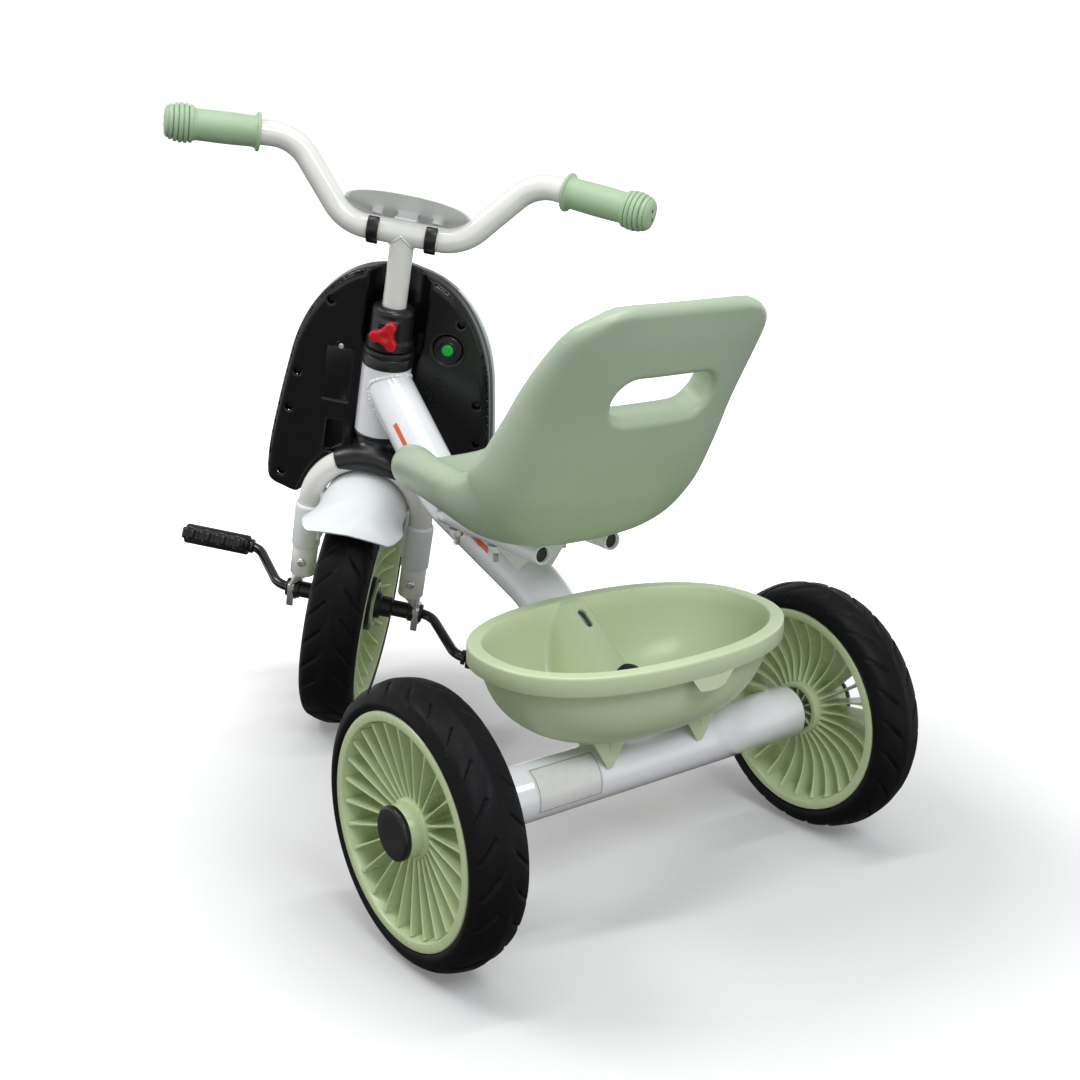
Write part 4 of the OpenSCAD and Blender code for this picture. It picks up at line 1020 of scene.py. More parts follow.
def seat_mesh(h):
    """The half of the seat with x >= 0, as a thick shell round the middle line."""
    n = 360
    tt = np.linspace(0, len(SEAT) - 1, n)
    st = smooth_at(SEAT, tt)
    py, pz = st[:, 0], st[:, 1]
    ty, tz = np.gradient(py), np.gradient(pz)
    ln = np.hypot(ty, tz)
    ty, tz = ty / ln, tz / ln
    ny, nz = -tz, ty
    glo, ghi = np.array([-h, -285.0, 250.0]), np.array([118.0, 60.0, 486.0])
    nx = int((ghi[0] - glo[0]) / h) + 1
    my = int((ghi[1] - glo[1]) / h) + 1
    mz = int((ghi[2] - glo[2]) / h) + 1
    xs = glo[0] + h * np.arange(nx)
    ys = glo[1] + h * np.arange(my)
    zs = glo[2] + h * np.arange(mz)
    gy, gz = np.meshgrid(ys, zs, indexing="ij")
    gy, gz = gy.ravel(), gz.ravel()
    k = np.empty(len(gy), int)
    for a in range(0, len(gy), 4000):
        d2 = (gy[a : a + 4000, None] - py) ** 2 + (gz[a : a + 4000, None] - pz) ** 2
        k[a : a + 4000] = d2.argmin(1)
    d = (gy - py[k]) * ny[k] + (gz - pz[k]) * nz[k]
    e = (gy - py[k]) * ty[k] + (gz - pz[k]) * tz[k]
    over = np.where(k == 0, np.maximum(-e, 0), np.where(k == n - 1, np.maximum(e, 0), 0))
    half, lip, thick, lobe = st[k, 2], st[k, 3], st[k, 4], st[k, 5]
    # the top corners go on round past the last station
    past = np.minimum(np.where(k == n - 1, over, 0), 6.9)
    r2, c = SEAT_CORNER_R**2, SEAT_CORNER_FROM
    half = half - (math.sqrt(r2 - c**2) - np.sqrt(r2 - (c + past) ** 2))
    u = np.linspace(0, 1, 64)
    field = np.full((nx, len(gy)), 1e3, np.float32)
    near = np.where(np.abs(d) < 95)[0]
    cx = np.sin(u * math.pi / 2)
    cd = u**2.6
    for a in range(0, len(near), 3000):
        q = near[a : a + 3000]
        curve_x = (half[q] - thick[q] / 2)[:, None] * cx
        curve_d = lip[q][:, None] * cd - lobe[q][:, None] * u**2 * 0.5
        best = np.full((nx, len(q)), 1e9, np.float32)
        for j in range(64):
            rr = (thick[q] / 2 + lobe[q] * 0.5 * u[j] ** 2).astype(np.float32)
            dx = np.abs(xs)[:, None] - curve_x[None, :, j]
            dd = (d[q] - curve_d[:, j])[None, :]
            best = np.minimum(best, np.sqrt(dx * dx + dd * dd + over[q][None, :] ** 2) - rr)
        field[:, q] = best
    field = field.reshape(nx, my, mz)
    gx, gy3, gz3 = np.meshgrid(xs, ys, zs, indexing="ij")
    # the handle slot: a flat capsule through the back
    tilt = math.radians(SLOT_TILT)
    a = (gy3 - SLOT_AT[0]) * math.sin(tilt) + (gz3 - SLOT_AT[1]) * math.cos(tilt)
    b = np.maximum(np.abs(gx) - SLOT_HALF, 0)
    slot = np.hypot(b, a) - SLOT_R
    slot = np.where(gz3 > 340, slot, 50)
    field = cut_out(field, slot, 5)
    return relax(nets(field, glo, h), 4)


def mirror_half(geo, h):
    """A half made for x >= 0 with its mirror image, joined on the middle plane."""
    v, f = np.asarray(geo[0]).copy(), np.asarray(geo[1])
    inside = v[:, 0] > -0.2 * h
    keep = inside[f].all(1)
    f = f[keep]
    # snap the open edge to the middle plane
    used = np.unique(f)
    e = np.concatenate([f[:, [0, 1]], f[:, [1, 2]], f[:, [2, 3]], f[:, [3, 0]]])
    e.sort(1)
    uniq, cnt = np.unique(e, axis=0, return_counts=True)
    rim = np.unique(uniq[cnt == 1])
    v[rim, 0] = 0
    remap = np.full(len(v), -1)
    remap[used] = np.arange(len(used))
    v, f = v[used], remap[f]
    w = v * [-1, 1, 1]
    g = f[:, ::-1] + len(v)
    return np.concatenate([v, w]), f.tolist() + g.tolist()


piece("seat_shell", mirror_half(seat_mesh(SEAT_STEP), SEAT_STEP), BASE, SEAT_GREEN, "frame", ["seat"],
      60)

# ------------------------------------------------------------------ basket

lo, hi = span("basket", BASE)
B_A, B_B, B_TOP = (hi[0] - lo[0]) / 2, (hi[1] - lo[1]) / 2, hi[2]
B_Y = (hi[1] + lo[1]) / 2
B_DEEP, B_N, RIM_IN = 74.0, 2.3, 11.7
CHANNEL_UP, CHANNEL_HALF, CHANNEL_POWER = 37, 29, 2.4
HOLE_Y = -70
TUBE_RUN, TUBE_DROP = MAIN[3][1] - MAIN[2][1], MAIN[2][2] - MAIN[3][2]  # the main tube under the basket


def main_mid(y):
    """Height of the main tube's middle line."""
    return MAIN[2][2] - TUBE_DROP / TUBE_RUN * (y + TUBE_RUN)


def bowl_z(rho):
    """Height of the bowl, with rho 0 in the middle and 1 at the rim."""
    return B_TOP - B_DEEP * np.maximum(1 - rho**4, 0) ** 0.52


def basket_mesh():
    """An oval bowl with a rolled rim and a channel raised over the main tube."""
    n = 200
    t = np.arange(n) * 2 * math.pi / n
    ux = np.sign(np.cos(t)) * np.abs(np.cos(t)) ** (2 / B_N)
    uy = np.sign(np.sin(t)) * np.abs(np.sin(t)) ** (2 / B_N)

    def ring(rho, out, down):
        x = (B_A - RIM_IN + out) * rho * ux
        y = B_Y + (B_B - RIM_IN + out) * rho * uy
        hump = np.maximum(main_mid(y) + CHANNEL_UP - 36 * np.abs(x / CHANNEL_HALF) ** CHANNEL_POWER, -50)
        z = -blend_in(-bowl_z(rho) - 0 * x, -hump, 5) - down
        return np.stack([x, y, np.minimum(z, B_TOP - down * 0.9)], 1)

    def flat(a, b, z):
        return np.stack([a * ux, B_Y + b * uy, np.full(n, z)], 1)

    w = 3.0
    rho = [0.04, 0.1, 0.16, 0.22, 0.28, 0.34, 0.4, 0.46, 0.52, 0.58, 0.64, 0.69, 0.74, 0.785, 0.825, 0.86, 0.89,
           0.915, 0.94, 0.96, 0.977, 0.99]
    rows = [ring(r, w, w) for r in rho]
    # the rim: how far each ring stands out from the rim's outer edge, and how far below the top
    rim = [(w - RIM_IN, 3.6), (w + 1 - RIM_IN, 2.8), (-3.6, 2.8), (-2.8, 3.8), (-2.7, 14.4), (-2.3, 15),
           (-0.4, 15), (0, 14.4), (-0.1, 2.4), (-0.15, 1.4), (-0.45, 0.6), (-1.0, 0.1), (-1.6, 0), (-2.6, 0),
           (2.8 - RIM_IN, 0), (1.8 - RIM_IN, 0), (1.0 - RIM_IN, 0.3), (0.3 - RIM_IN, 1.2)]
    rows += [flat(B_A + grow, B_B + grow, B_TOP - drop) for grow, drop in rim]
    rows += [ring(r, 0, 0) for r in reversed(rho)]
    return poled(rows, [0, B_Y, rows[0][:, 2].mean()], [0, B_Y, rows[-1][:, 2].mean()])


def skirt_lug():
    """The shallow tab under the rear rim."""
    pts = rounded([(-31, 0), (11, 0), (3, -10.5), (-5, -12), (-14, -12), (-22, -10)], [0.3, 0.3, 4, 6, 6, 5], 5)
    v, f = prism(pts, -1.4, 0)
    # bend it on to the rim's curve
    x = v[:, 0]
    u = np.clip(np.abs(x) / B_A, 0, 0.999)
    y = B_Y + B_B * (1 - u**B_N) ** (1 / B_N)
    return np.stack([x, y + v[:, 2], B_TOP - 14.5 + v[:, 1]], 1), f


def foot(x):
    """A cross-shaped rib that stands on the axle tube."""
    parts = []
    side = rounded([(-24, 150), (24, 150), (22, AXLE_Z + 24), (15, AXLE_Z + 16.5), (0, AXLE_Z + TUBE_R + 0.3),
                    (-15, AXLE_Z + 16.5), (-22, AXLE_Z + 24)], [0.2, 0.2, 2, 1, 6, 1, 2], 4)
    v, f = prism(side, -1.3, 1.3)
    parts.append((np.stack([x + v[:, 2], v[:, 0], v[:, 1]], 1), f))
    back = rounded([(-18, 144), (18, 144), (2.6, AXLE_Z + 12), (-2.6, AXLE_Z + 12)], [0.2, 0.2, 1, 1], 3)
    v, f = prism(back, -1.3, 1.3)
    parts.append((np.stack([x + v[:, 0], 20.5 + v[:, 2], v[:, 1]], 1), f))
    return join(*parts)


basket = piece("basket_bowl", basket_mesh(), BASE, BASKET_GREEN, "frame", ["basket"], 42)
piece("basket_lug", skirt_lug(), BASE, BASKET_GREEN, "frame", (), 42)
# the long hole in the raised channel
down = math.degrees(math.atan2(-TUBE_DROP, TUBE_RUN))
hole = prism(rounded([(-3.8, -9), (3.8, -9), (3.8, 9), (-3.8, 9)], 3.7, 8), -16, 16)
cutter = piece("hole_cutter", moved(hole, (0, HOLE_Y, main_mid(HOLE_Y) + 34), rot("X", down)), BASE,
               BASKET_GREEN, "frame")
mod = basket.modifiers.new("hole", "BOOLEAN")
mod.operation, mod.solver, mod.object = "DIFFERENCE", "EXACT", cutter
bake(basket)
bpy.data.objects.remove(cutter)
smooth(basket, 42)
piece("basket_feet", join(foot(-47), foot(44)), BASE, BASKET_GREEN, "frame", (), 42,
      bevel=0.5)

knob_j = joints["basket_knob_turn"]
KNOB = axes_frame(knob_j["axis"], (1, 0, 0), knob_j["pos_m"])
lo, hi = span("basket_knob", KNOB)
pts = []
for a in np.arange(0, 360, 4.0):
    r = 8.2 + 2.8 * (0.5 + 0.5 * math.cos(math.radians(2 * a))) ** 1.6
    pts.append((r * math.cos(math.radians(a)), r * math.sin(math.radians(a))))
rows = []
z0, z1 = lo[2], hi[2]
for z, k in ((z0, 0.9), (z0 + 0.8, 1.0), (z1 - 2.2, 1.0), (z1 - 0.8, 0.95), (z1, 0.84)):
    rows.append([(x * k, y * k, z) for x, y in pts])
piece("wing_knob", capped(rows), KNOB, BLACK, "basket_knob", ["basket_knob"], 45)
lo, hi = span("basket_stud", KNOB)
washer = [(3, 8.9), (7.6, 8.9), (8, 9.3), (8, 9.8), (7.6, 10.1), (3, 10.1)]
stud = join(thread(2.9, lo[2], hi[2]), lathe([(r, lo[2] + z) for r, z in washer], 40, closed=True))
piece("knob_stud", stud, KNOB, ZINC, "frame", ["basket_stud"], 35)

# ------------------------------------------------------------------ fork

FORK_E = AXLE[1]  # the fork and the front axle stand this far behind the steering axis
LEG_X, LEG_R = 53.8, 11
FORK_TOP = 282.0
ARCH_S = FORK_TOP - LEG_X
LEG_LOW = span("fork_tube", STEER)[0][2]
arch = [(-LEG_X, FORK_E, LEG_LOW), (-LEG_X, FORK_E, 200)]
for a in np.linspace(180, 0, 41):
    arch.append((LEG_X * math.cos(math.radians(a)), FORK_E, ARCH_S + LEG_X * math.sin(math.radians(a))))
arch += [(LEG_X, FORK_E, 200), (LEG_X, FORK_E, LEG_LOW)]
u_tube = sweep(resample(np.array(arch, float), 3.0), LEG_R, 48, lip=0.6)
sleeve = lathe([(11, LEG_LOW - 0.2), (11.9, LEG_LOW - 0.2), (12.3, LEG_LOW + 0.4), (12.3, 178.6), (11.9, 179.2),
                (11, 179.2)], 56, closed=True)
sleeves = [moved(sleeve, (s * LEG_X, FORK_E, 0)) for s in (-1, 1)]
piece("fork_u_tube", join(u_tube, *sleeves), STEER, CREAM_PAINT, "fork", ["fork_tube", "steerer_tube"],
      45)


def crown_mesh(h=1.0):
    """The saddle between the fork and the head tube, with a tongue towards the shield."""
    lo3, hi3 = np.array([-46.0, -32, 256]), np.array([46.0, 42, 304])
    x, e, s = field_grid(lo3, hi3, h)
    neck = np.maximum(np.hypot(x, e) - 20.2, np.abs(s - 292) - 9.4)
    # saddle: a sleeve on the middle of the U tube
    tube = np.hypot(np.hypot(x, s - ARCH_S) - LEG_X, e - FORK_E)
    ang = np.degrees(np.arctan2(np.abs(x), s - ARCH_S))
    saddle = np.maximum(tube - 13.4, (ang - 33) * 0.9)
    body = blend_in(neck, saddle, 8)
    tongue = meet(np.abs(x) - 10, np.abs(s - 284) - 10, np.hypot(x, e) - 28.9, e - 2)
    body = blend_in(body, tongue, 4)
    # free of the U tube and the fender
    body = meet(body, s - 301.4, LEG_R + 0.1 - tube, 144.5 - np.hypot(e - FORK_E, s - AXLE[2]))
    return relax(nets(body, lo3, h), 2)


piece("crown_saddle", crown_mesh(), STEER, BLACK, "fork", ["crown_cover"], 50)

# the fender, from its rear end to its front end in degrees round the axle (90 is up)
F0, F1 = 54.0, 148.0


def fender_point(t, u, out):
    """A point of the fender at angle t and u across (-1 to 1), out from its inner face."""
    b = np.clip((t - F0) / 24, 0, 1)
    f = b * b * (3 - 2 * b)
    crease = 1.6 * np.exp(-(np.abs(u) / 0.10) ** 2) * (1 - f)
    ridge = 1.3 * np.clip(1 - np.abs(t - (72 - 10 * np.abs(u))) / 3.5, 0, 1) * (np.abs(u) < 0.85)
    wide = 140.5 - 9 * u * u - 1.5 * np.abs(u) + out + crease * 0.4
    round_r = 99 + (40 + out) * np.cos(np.radians(75 * u))
    r = wide + (round_r - wide) * f + ridge * 0.5 * (1 - f * 0.3)
    x = 50 * u + ((40 + out) * np.sin(np.radians(75 * u)) - 50 * u) * f
    return np.array([x, FORK_E + r * math.cos(math.radians(t)), AXLE[2] + r * math.sin(math.radians(t))])


def fender_mesh():
    """The fender's sheet, with its rear corners rounded off."""
    uu = np.linspace(-1, 1, 61)

    def trimmed(t, u, out):
        corner = max(0.0, (abs(u) - 0.72)) ** 2 * 120 * max(0, 1 - (t - F0) / 30)
        return fender_point(t + corner, u, out)

    rows = []
    for t in np.linspace(F0, F1, 90):
        rows.append([trimmed(t, u, 2.4) for u in uu] + [trimmed(t, u, 0.0) for u in uu[::-1]])
    v, f = rings(rows)
    n = len(rows[0])
    m = len(uu)
    for base, flip in ((0, 1), (len(v) - n, 0)):
        for j in range(m - 1):
            q = (base + j, base + j + 1, base + n - 2 - j, base + n - 1 - j)
            f.append(q[::-1] if flip else q)
    return v, f


def leg_sleeves():
    """The fender's two sleeves on the fork's legs, and the webs that carry them."""
    sleeve = lathe([(11.2, 179.6), (12.6, 179.6), (13.4, 180.2), (13.5, 181), (13.6, 222), (13.2, 224),
                    (12.2, 225), (11.2, 225.2)], 64, closed=True)
    web = block((39.2, FORK_E - 8.5, 190), (43.6, FORK_E + 8.5, 240), 1.5, 3)
    return join(moved(sleeve, (-LEG_X, FORK_E, 0)), mirrored_x(web), moved(sleeve, (LEG_X, FORK_E, 0)), web)


piece("fender_shell", join(fender_mesh(), leg_sleeves()), STEER, WHITE_PLASTIC, "fork", ["fender"],
      40)

# leg screws and axle holders
head = lathe([(0, 0.2), (3.9, 0.2), (4.2, 0.6), (3.9, 1.4), (3.0, 2.0), (1.8, 2.2), (1.5, 1.4), (0, 1.3)], 32)
screws = [moved(head, (s * LEG_X, FORK_E + 12.1, 164.6), BACK_OUT) for s in (-1, 1)]
piece("leg_screw_heads", join(*screws), STEER, ZINC, "fork", ["leg_screws"], 40)

lo, hi = span("axle_holders", STEER)
EAR_X, EAR_HALF, EAR_N = 62.4, 9.2, 32
top_z, low = LEG_LOW + 1, lo[2] - AXLE[2]
t = np.arange(EAR_N) * 2 * math.pi / EAR_N
rows = []
for z in np.linspace(0, 1, 15):
    # a round tube that flattens into a plate
    a, b = 10.6 + (2.1 - 10.6) * min(1, z * 1.25) ** 0.9, 10.6 + (EAR_HALF - 10.6) * z
    cx = LEG_X + (EAR_X - LEG_X) * min(1, z * 1.1)
    e = 2 / (2 + 2.2 * z)
    rows.append(np.stack([cx + a * np.sign(np.cos(t)) * np.abs(np.cos(t)) ** e,
                          FORK_E + b * np.sign(np.sin(t)) * np.abs(np.sin(t)) ** e,
                          np.full(EAR_N, top_z + (AXLE[2] + 6 - top_z) * z)], 1))
# the plate, open below for the axle
arc = [(6.6 * math.cos(a), 6.6 * math.sin(a)) for a in np.radians(np.linspace(-35, 215, 24))]
prong = [(EAR_HALF, low + 3), (7.6, low), (5.4, low + 0.6)]
shape = [(-EAR_HALF, 8), (EAR_HALF, 8)] + prong + arc + [(-y, z) for y, z in reversed(prong)]
v, f = prism(shape, -3.2, 3.2)
plate = (np.stack([EAR_X + v[:, 2], FORK_E + v[:, 0], AXLE[2] + v[:, 1]], 1), f)
ear = join(capped(rows), plate)
piece("axle_ears", join(mirrored_x(ear), ear), STEER, ZINC, "fork", ["axle_holders"], 40, bevel=1.2)

bush = lathe([(5, 38.4), (7.6, 38.4), (8, 38.8), (8, 54), (9.2, 54.6), (9.6, 55.2), (9.6, 59.6), (9.2, 60.3),
              (6.4, 60.4), (6.4, 64.5), (8.6, 64.6), (9, 65.2), (9, 67.4), (8.4, 68), (5, 68)], 48, closed=True)
piece("axle_sleeves", moved(both(moved(bush, turn=X_OUT)), AXLE), STEER, BLACK, "fork", ["axle_bushes"],
      40)

# clamp collar
lo, hi = span("clamp_collar", STEER)
C0, C1 = lo[2], hi[2]


def collar_mesh(h=0.8):
    """The collar that clamps the stem: a flange, a round top, a lug for the knob and a tongue."""
    lo3, hi3 = np.array([-26.0, -31, C0 - 2]), np.array([26.0, 27, C1 + 2])
    x, e, s = field_grid(lo3, hi3, h)
    r = np.hypot(x, e)
    base = np.maximum(r - 21.4, np.abs(s - (C0 + 4)) - 4)
    top = np.maximum(r - (19.9 - 0.012 * (s - C0)), s - C1)
    body = blend_in(base, np.maximum(top, C0 - s), 2.5)
    # round the top edge
    q = np.hypot(np.maximum(r - 13.6, 0), np.maximum(s - (C1 - 6), 0)) - 6
    body = np.where(s > C1 - 6, np.maximum(body, np.where(r > 13.6, q, s - C1)), body)
    lug = meet(np.abs(x) - 9, np.abs(s - 409) - 10, e - 22.4, -e)
    body = blend_in(body, lug, 3)
    tongue = meet(np.abs(x) - 10, np.abs(s - (C0 + 15)) - 11, r - 28.9, e)
    body = blend_in(body, tongue, 2)
    return relax(nets(meet(body, 11.15 - r, C0 - s), lo3, h), 2)


piece("collar", collar_mesh(), STEER, BLACK, "fork", ["clamp_collar"], 50)

kj = joints["clamp_knob_turn"]
CK = axes_frame(kj["axis"], STEER[:3, 0], kj["pos_m"])
lo, hi = span("clamp_knob", CK)
KNOB_LOBES = (127, 247, 7)


def knob_mesh(h=0.5):
    """A knob with three lobes and a dished middle."""
    z0, z1 = lo[2] + 0.4, hi[2]
    lo3, hi3 = np.array([-17.0, -17, z0 - 2]), np.array([17.0, 17, z1 + 2])
    x, y, z = field_grid(lo3, hi3, h)
    body = np.hypot(x, y) - 7.0
    for a in KNOB_LOBES:
        c, s = math.cos(math.radians(a)), math.sin(math.radians(a))
        t = np.clip(x * c + y * s, 0, 9.4)
        arm = np.hypot(x - t * c, y - t * s) - 5.3
        body = blend_in(body, arm, 3.2)
    dome = 0.35 * np.cos(np.minimum(np.hypot(x, y) / 16 * math.pi, math.pi))
    side = np.abs(z - (z0 + z1) / 2) - (z1 - z0) / 2 + 0.3 - dome * 0.5
    out = round_meet(body, side, 2.2)
    dish = np.hypot(np.hypot(x, y), (z - (z1 + 5.2))) - 6.4
    out = cut_out(out, dish, 1.2)
    return relax(nets(out, lo3, h), 2)


piece("three_lobe_knob", knob_mesh(), CK, RED, "clamp_knob", ["clamp_knob"], 60)

# ------------------------------------------------------------------ shield

# half of the shield's outline: across, and up along the steering axis
SHIELD = [(0, 268), (24, 266.5), (42, 261), (55, 251), (64, 237), (70, 222), (77, 213.5), (90, 216), (103, 221),
          (107.5, 232), (107.5, 262), (103.5, 300), (98, 340), (91, 378), (78, 410), (58, 436), (34, 452),
          (0, 460)]
SHIELD_E = -14.0
half_line = smooth_at(SHIELD, np.linspace(0, len(SHIELD) - 1, 120))
outline = np.vstack([half_line, (half_line * [-1, 1])[-2:0:-1]])


def polygon_distance(px, py, poly):
    """Signed distance to a closed polygon, inside negative."""
    best = np.full(px.shape, 1e9, np.float32)
    inside = np.zeros(px.shape, bool)
    for a, b in zip(poly, np.roll(poly, -1, 0)):
        ex, ey = b - a
        wx, wy = px - a[0], py - a[1]
        t = np.clip((wx * ex + wy * ey) / (ex * ex + ey * ey + 1e-12), 0, 1)
        best = np.minimum(best, (wx - ex * t) ** 2 + (wy - ey * t) ** 2)
        cross = ((a[1] > py) != (b[1] > py)) & (px < (b[0] - a[0]) * (py - a[1]) / (b[1] - a[1] + 1e-12) + a[0])
        inside ^= cross
    return np.where(inside, -1, 1) * np.sqrt(best)


lo, hi = span("music_button", STEER)
BX, BS = (lo[0] + hi[0]) / 2, (lo[2] + hi[2]) / 2
HOLES = [(side * x, s) for side in (1, -1) for x, s in ((61, 417), (86, 341), (91, 303), (93, 234))]
SPEAKER = (-47.0, 350.0)


def shield_back_mesh(h):
    """The shield's black rear shell, hollow, with a channel for the head tube and the collar."""
    lo3, hi3 = np.array([-112.0, -52, 206]), np.array([112.0, -11, 466])
    xs = np.arange(lo3[0], hi3[0] + h, h)
    ss = np.arange(lo3[2], hi3[2] + h, h)
    gx, gs = np.meshgrid(xs, ss, indexing="ij")
    d2 = polygon_distance(gx, gs, outline)
    x, e, s = field_grid(lo3, hi3, h)
    d2 = d2[: x.shape[0], : x.shape[2]][:, None, :]
    front, back = -36.0, SHIELD_E
    # a shell with a rounded rear edge
    body = np.maximum(round_meet(d2, e - back, 8.0), front - e)
    hollow = np.maximum(d2 + 2.6, e - (back - 2.8))
    body = np.maximum(body, -hollow)
    # the channel for the head tube and the collar
    rr = np.hypot(x, e)
    upper = np.clip((s - 380) / 10, 0, 1)
    width = 29.0 + 2.4 * upper
    wall = meet(np.abs(rr - (width + 1.4)) - 1.5, e - back, d2 + 1)
    body = np.minimum(body, wall)
    body = cut_out(body, np.maximum(rr - width, -300 - e), 2.5)
    body = np.maximum(body, d2)
    # battery door recess, button dish, slot, screw wells
    door = meet(np.abs(x - 48) - 12.6, np.abs(s - 346.5) - 27.2, back - 0.9 - e)
    body = np.maximum(body, -door)
    tab = np.maximum(np.hypot(x - 47, s - 374) - 5.2, back - 1.0 - e)
    body = np.maximum(body, -tab)
    dish = np.maximum(np.hypot(x - BX, s - BS) - 14.5, back - 1.6 - e)
    body = cut_out(body, dish, 1.5)
    body = np.maximum(body, -(np.hypot(x - BX, s - BS) - 8.4))
    slot = meet(np.abs(x - 45) - 8, np.abs(s - 282) - 17, back - 40 - e)
    body = cut_out(body, slot, 1.5)
    for hx, hs in HOLES:
        rad = np.hypot(x - hx, s - hs)
        body = cut_out(body, np.maximum(rad - 3.6, back - 6 - e), 0.8)
        body = np.minimum(body, meet(rad - 5.4, e - (back - 5), back - 9 - e))
    return relax(nets(body, lo3, h), 3)


# a near-black sheet behind the slot in the rear shell: painted shade where the slot opens into the hollow
# shield
piece("shield_slot_painted_shade", block((31, -40, 258), (62, -37.5, 303), 0.5, 2), STEER, PAINTED_SHADE, "fork", (),
      40)
piece("shield_rear", shield_back_mesh(1.2), STEER, SHIELD_BLACK, "fork", ["shield_back"], 40)

door = block((35.9, SHIELD_E - 3, 319.9), (60.1, SHIELD_E - 0.35, 373.1), 0.9, 3)
tab = moved(lathe([(0, 0), (4.6, 0), (4.6, 1.6), (4.2, 2.2), (2.4, 2.4), (2.2, 1.2), (0, 1.2)], 32),
            (47, SHIELD_E - 2.8, 374), BACK_OUT)
piece("battery_cover", join(door, tab), STEER, SHIELD_BLACK, "fork", ["battery_door"], 40)
dscrew = lathe([(0, -6), (1.4, -6), (1.4, -0.2), (2.6, 0), (2.9, 0.5), (2.4, 1.2), (1.2, 1.4), (1.0, 0.9),
                (0, 0.9)], 28)
piece("battery_cover_screw", moved(dscrew, (47, SHIELD_E - 1.2, 374), BACK_OUT), STEER, ZINC, "fork",
      ["battery_door_screw"], 40)

# the speaker holes are shallow near-black pits: painted shade standing in for open holes
holes = []
pit = lathe([(0, 0.02), (1.25, 0.02), (1.45, 0.25), (1.55, 0.05), (1.7, -0.4)], 20)
for ring_r, count in ((0, 1), (5.2, 6), (10.2, 12)):
    for i in range(count):
        a = math.radians(i * 360 / count + ring_r * 3)
        hx, hs = SPEAKER[0] + ring_r * math.cos(a), SPEAKER[1] + ring_r * math.sin(a)
        holes.append(moved(pit, (hx, SHIELD_E - 0.02, hs), BACK_OUT))
piece("speaker_hole_painted_shade", join(*holes), STEER, PAINTED_SHADE, "fork", (), 50)

bezel = lathe([(5.9, -3), (5.9, 0.6), (6.4, 1.3), (7.6, 1.5), (8.2, 1.0), (8.6, 0.1), (10.4, -0.2), (10.9, 0.5),
               (12.1, 0.7), (12.8, 0.2), (13.2, -0.9), (13.2, -3)], 72, closed=True)
piece("button_ring", moved(bezel, (BX, SHIELD_E, BS), BACK_OUT), STEER, BLACK, "fork", ["button_bezel"],
      40)
lo, hi = span("music_button", STEER)
cap = lathe([(0, lo[1]), (5.4, lo[1]), (5.5, lo[1] + 0.3), (5.5, hi[1] - 0.9), (5.2, hi[1] - 0.35),
             (4.5, hi[1] - 0.05), (3, hi[1]), (0, hi[1])], 48)
piece("music_button_cap", moved(cap, (BX, 0, BS), BACK_OUT), STEER, BUTTON_GREEN, "music_button",
      ["music_button"], 50)

head = lathe([(0, 0), (2.7, 0), (3.0, 0.4), (2.6, 1.2), (1.4, 1.5), (1.1, 0.9), (0, 0.9)], 24)
heads = [moved(head, (hx, SHIELD_E - 6.5, hs), BACK_OUT) for hx, hs in HOLES]
piece("shield_screw_heads", join(*heads), STEER, ZINC, "fork", ["shield_screws"], 40)


SHIELD_MID_S = 345
# the front dome, towards the front and scaled about the middle
DOME = [(0, 1.0), (3, 1.0), (8, 0.998), (14, 0.988), (20, 0.966), (26, 0.935), (32, 0.893), (38, 0.838),
        (43, 0.772), (47, 0.70), (50.5, 0.61), (53.5, 0.5), (55.5, 0.37), (56.8, 0.22), (57.4, 0.08)]


def shield_front_mesh():
    """The shield's white front shell: a dome and a flatter back."""
    mid = np.array([0.0, SHIELD_MID_S])
    back = SHIELD_E - 20
    line = outline[::2] * 0.962 + np.array([-6.6, SHIELD_MID_S * 0.038 + 1.5])

    def ring(e, k, grow):
        d = line - mid
        n = np.linalg.norm(d, axis=1)[:, None]
        q = mid + d * (k + grow / n)
        return np.stack([q[:, 0], np.full(len(q), e), q[:, 1]], 1)

    prof = [(e * 0.67 if e < 40 else 26.8 + (e - 40) * 0.78, k) for e, k in DOME]
    rows = [ring(back - e * 0.95, k, -2) for e, k in reversed(prof)] + [ring(back - e, k, 0.0) for e, k in prof]
    return poled(rows, [0, rows[0][0][1], SHIELD_MID_S], [0, rows[-1][0][1] - 0.1, SHIELD_MID_S])


piece("shield_front_shell", shield_front_mesh(), STEER, WHITE_PLASTIC, "fork", ["shield_front"],
      50)
rows = []
for e, k in ((-33, 0.93), (-33, 0.978), (-33.6, 0.984), (-37.4, 0.984), (-38, 0.978), (-38, 0.93)):
    line = outline[::2] * k + np.array([-1.6, SHIELD_MID_S * (1 - k) + 2.2])
    rows.append(np.stack([line[:, 0], np.full(len(line), float(e)), line[:, 1]], 1))
piece("shield_trim_band", rings(rows, closed_rows=True), STEER, TRIM_GREY, "fork", ["shield_trim"],
      40)

LAMP_X, LAMP_S = 38, 372
bezel = lathe([(16, 40), (19, 40), (19.6, 41), (19.8, 68), (19.2, 71), (17.8, 72.6), (16.6, 72.2), (16.0, 70.8),
               (15.8, 66)], 64, closed=True)
lens = lathe([(0, 64), (15.8, 64), (15.9, 68.5), (14.5, 70.6), (11.5, 72.3), (8, 73.3), (4, 73.9), (0, 74.1)],
             64)
for side, s in (("left", 1), ("right", -1)):
    at = (s * LAMP_X, 0, LAMP_S)
    piece(f"lamp_bezel_{side}", moved(bezel, at, FRONT_OUT), STEER, TRIM_GREY, "fork", (), 45)
    piece(f"lamp_lens_{side}", moved(lens, at, FRONT_OUT), STEER, LAMP, "fork", [f"headlight_{side}"],
          60)

# ------------------------------------------------------------------ handlebar

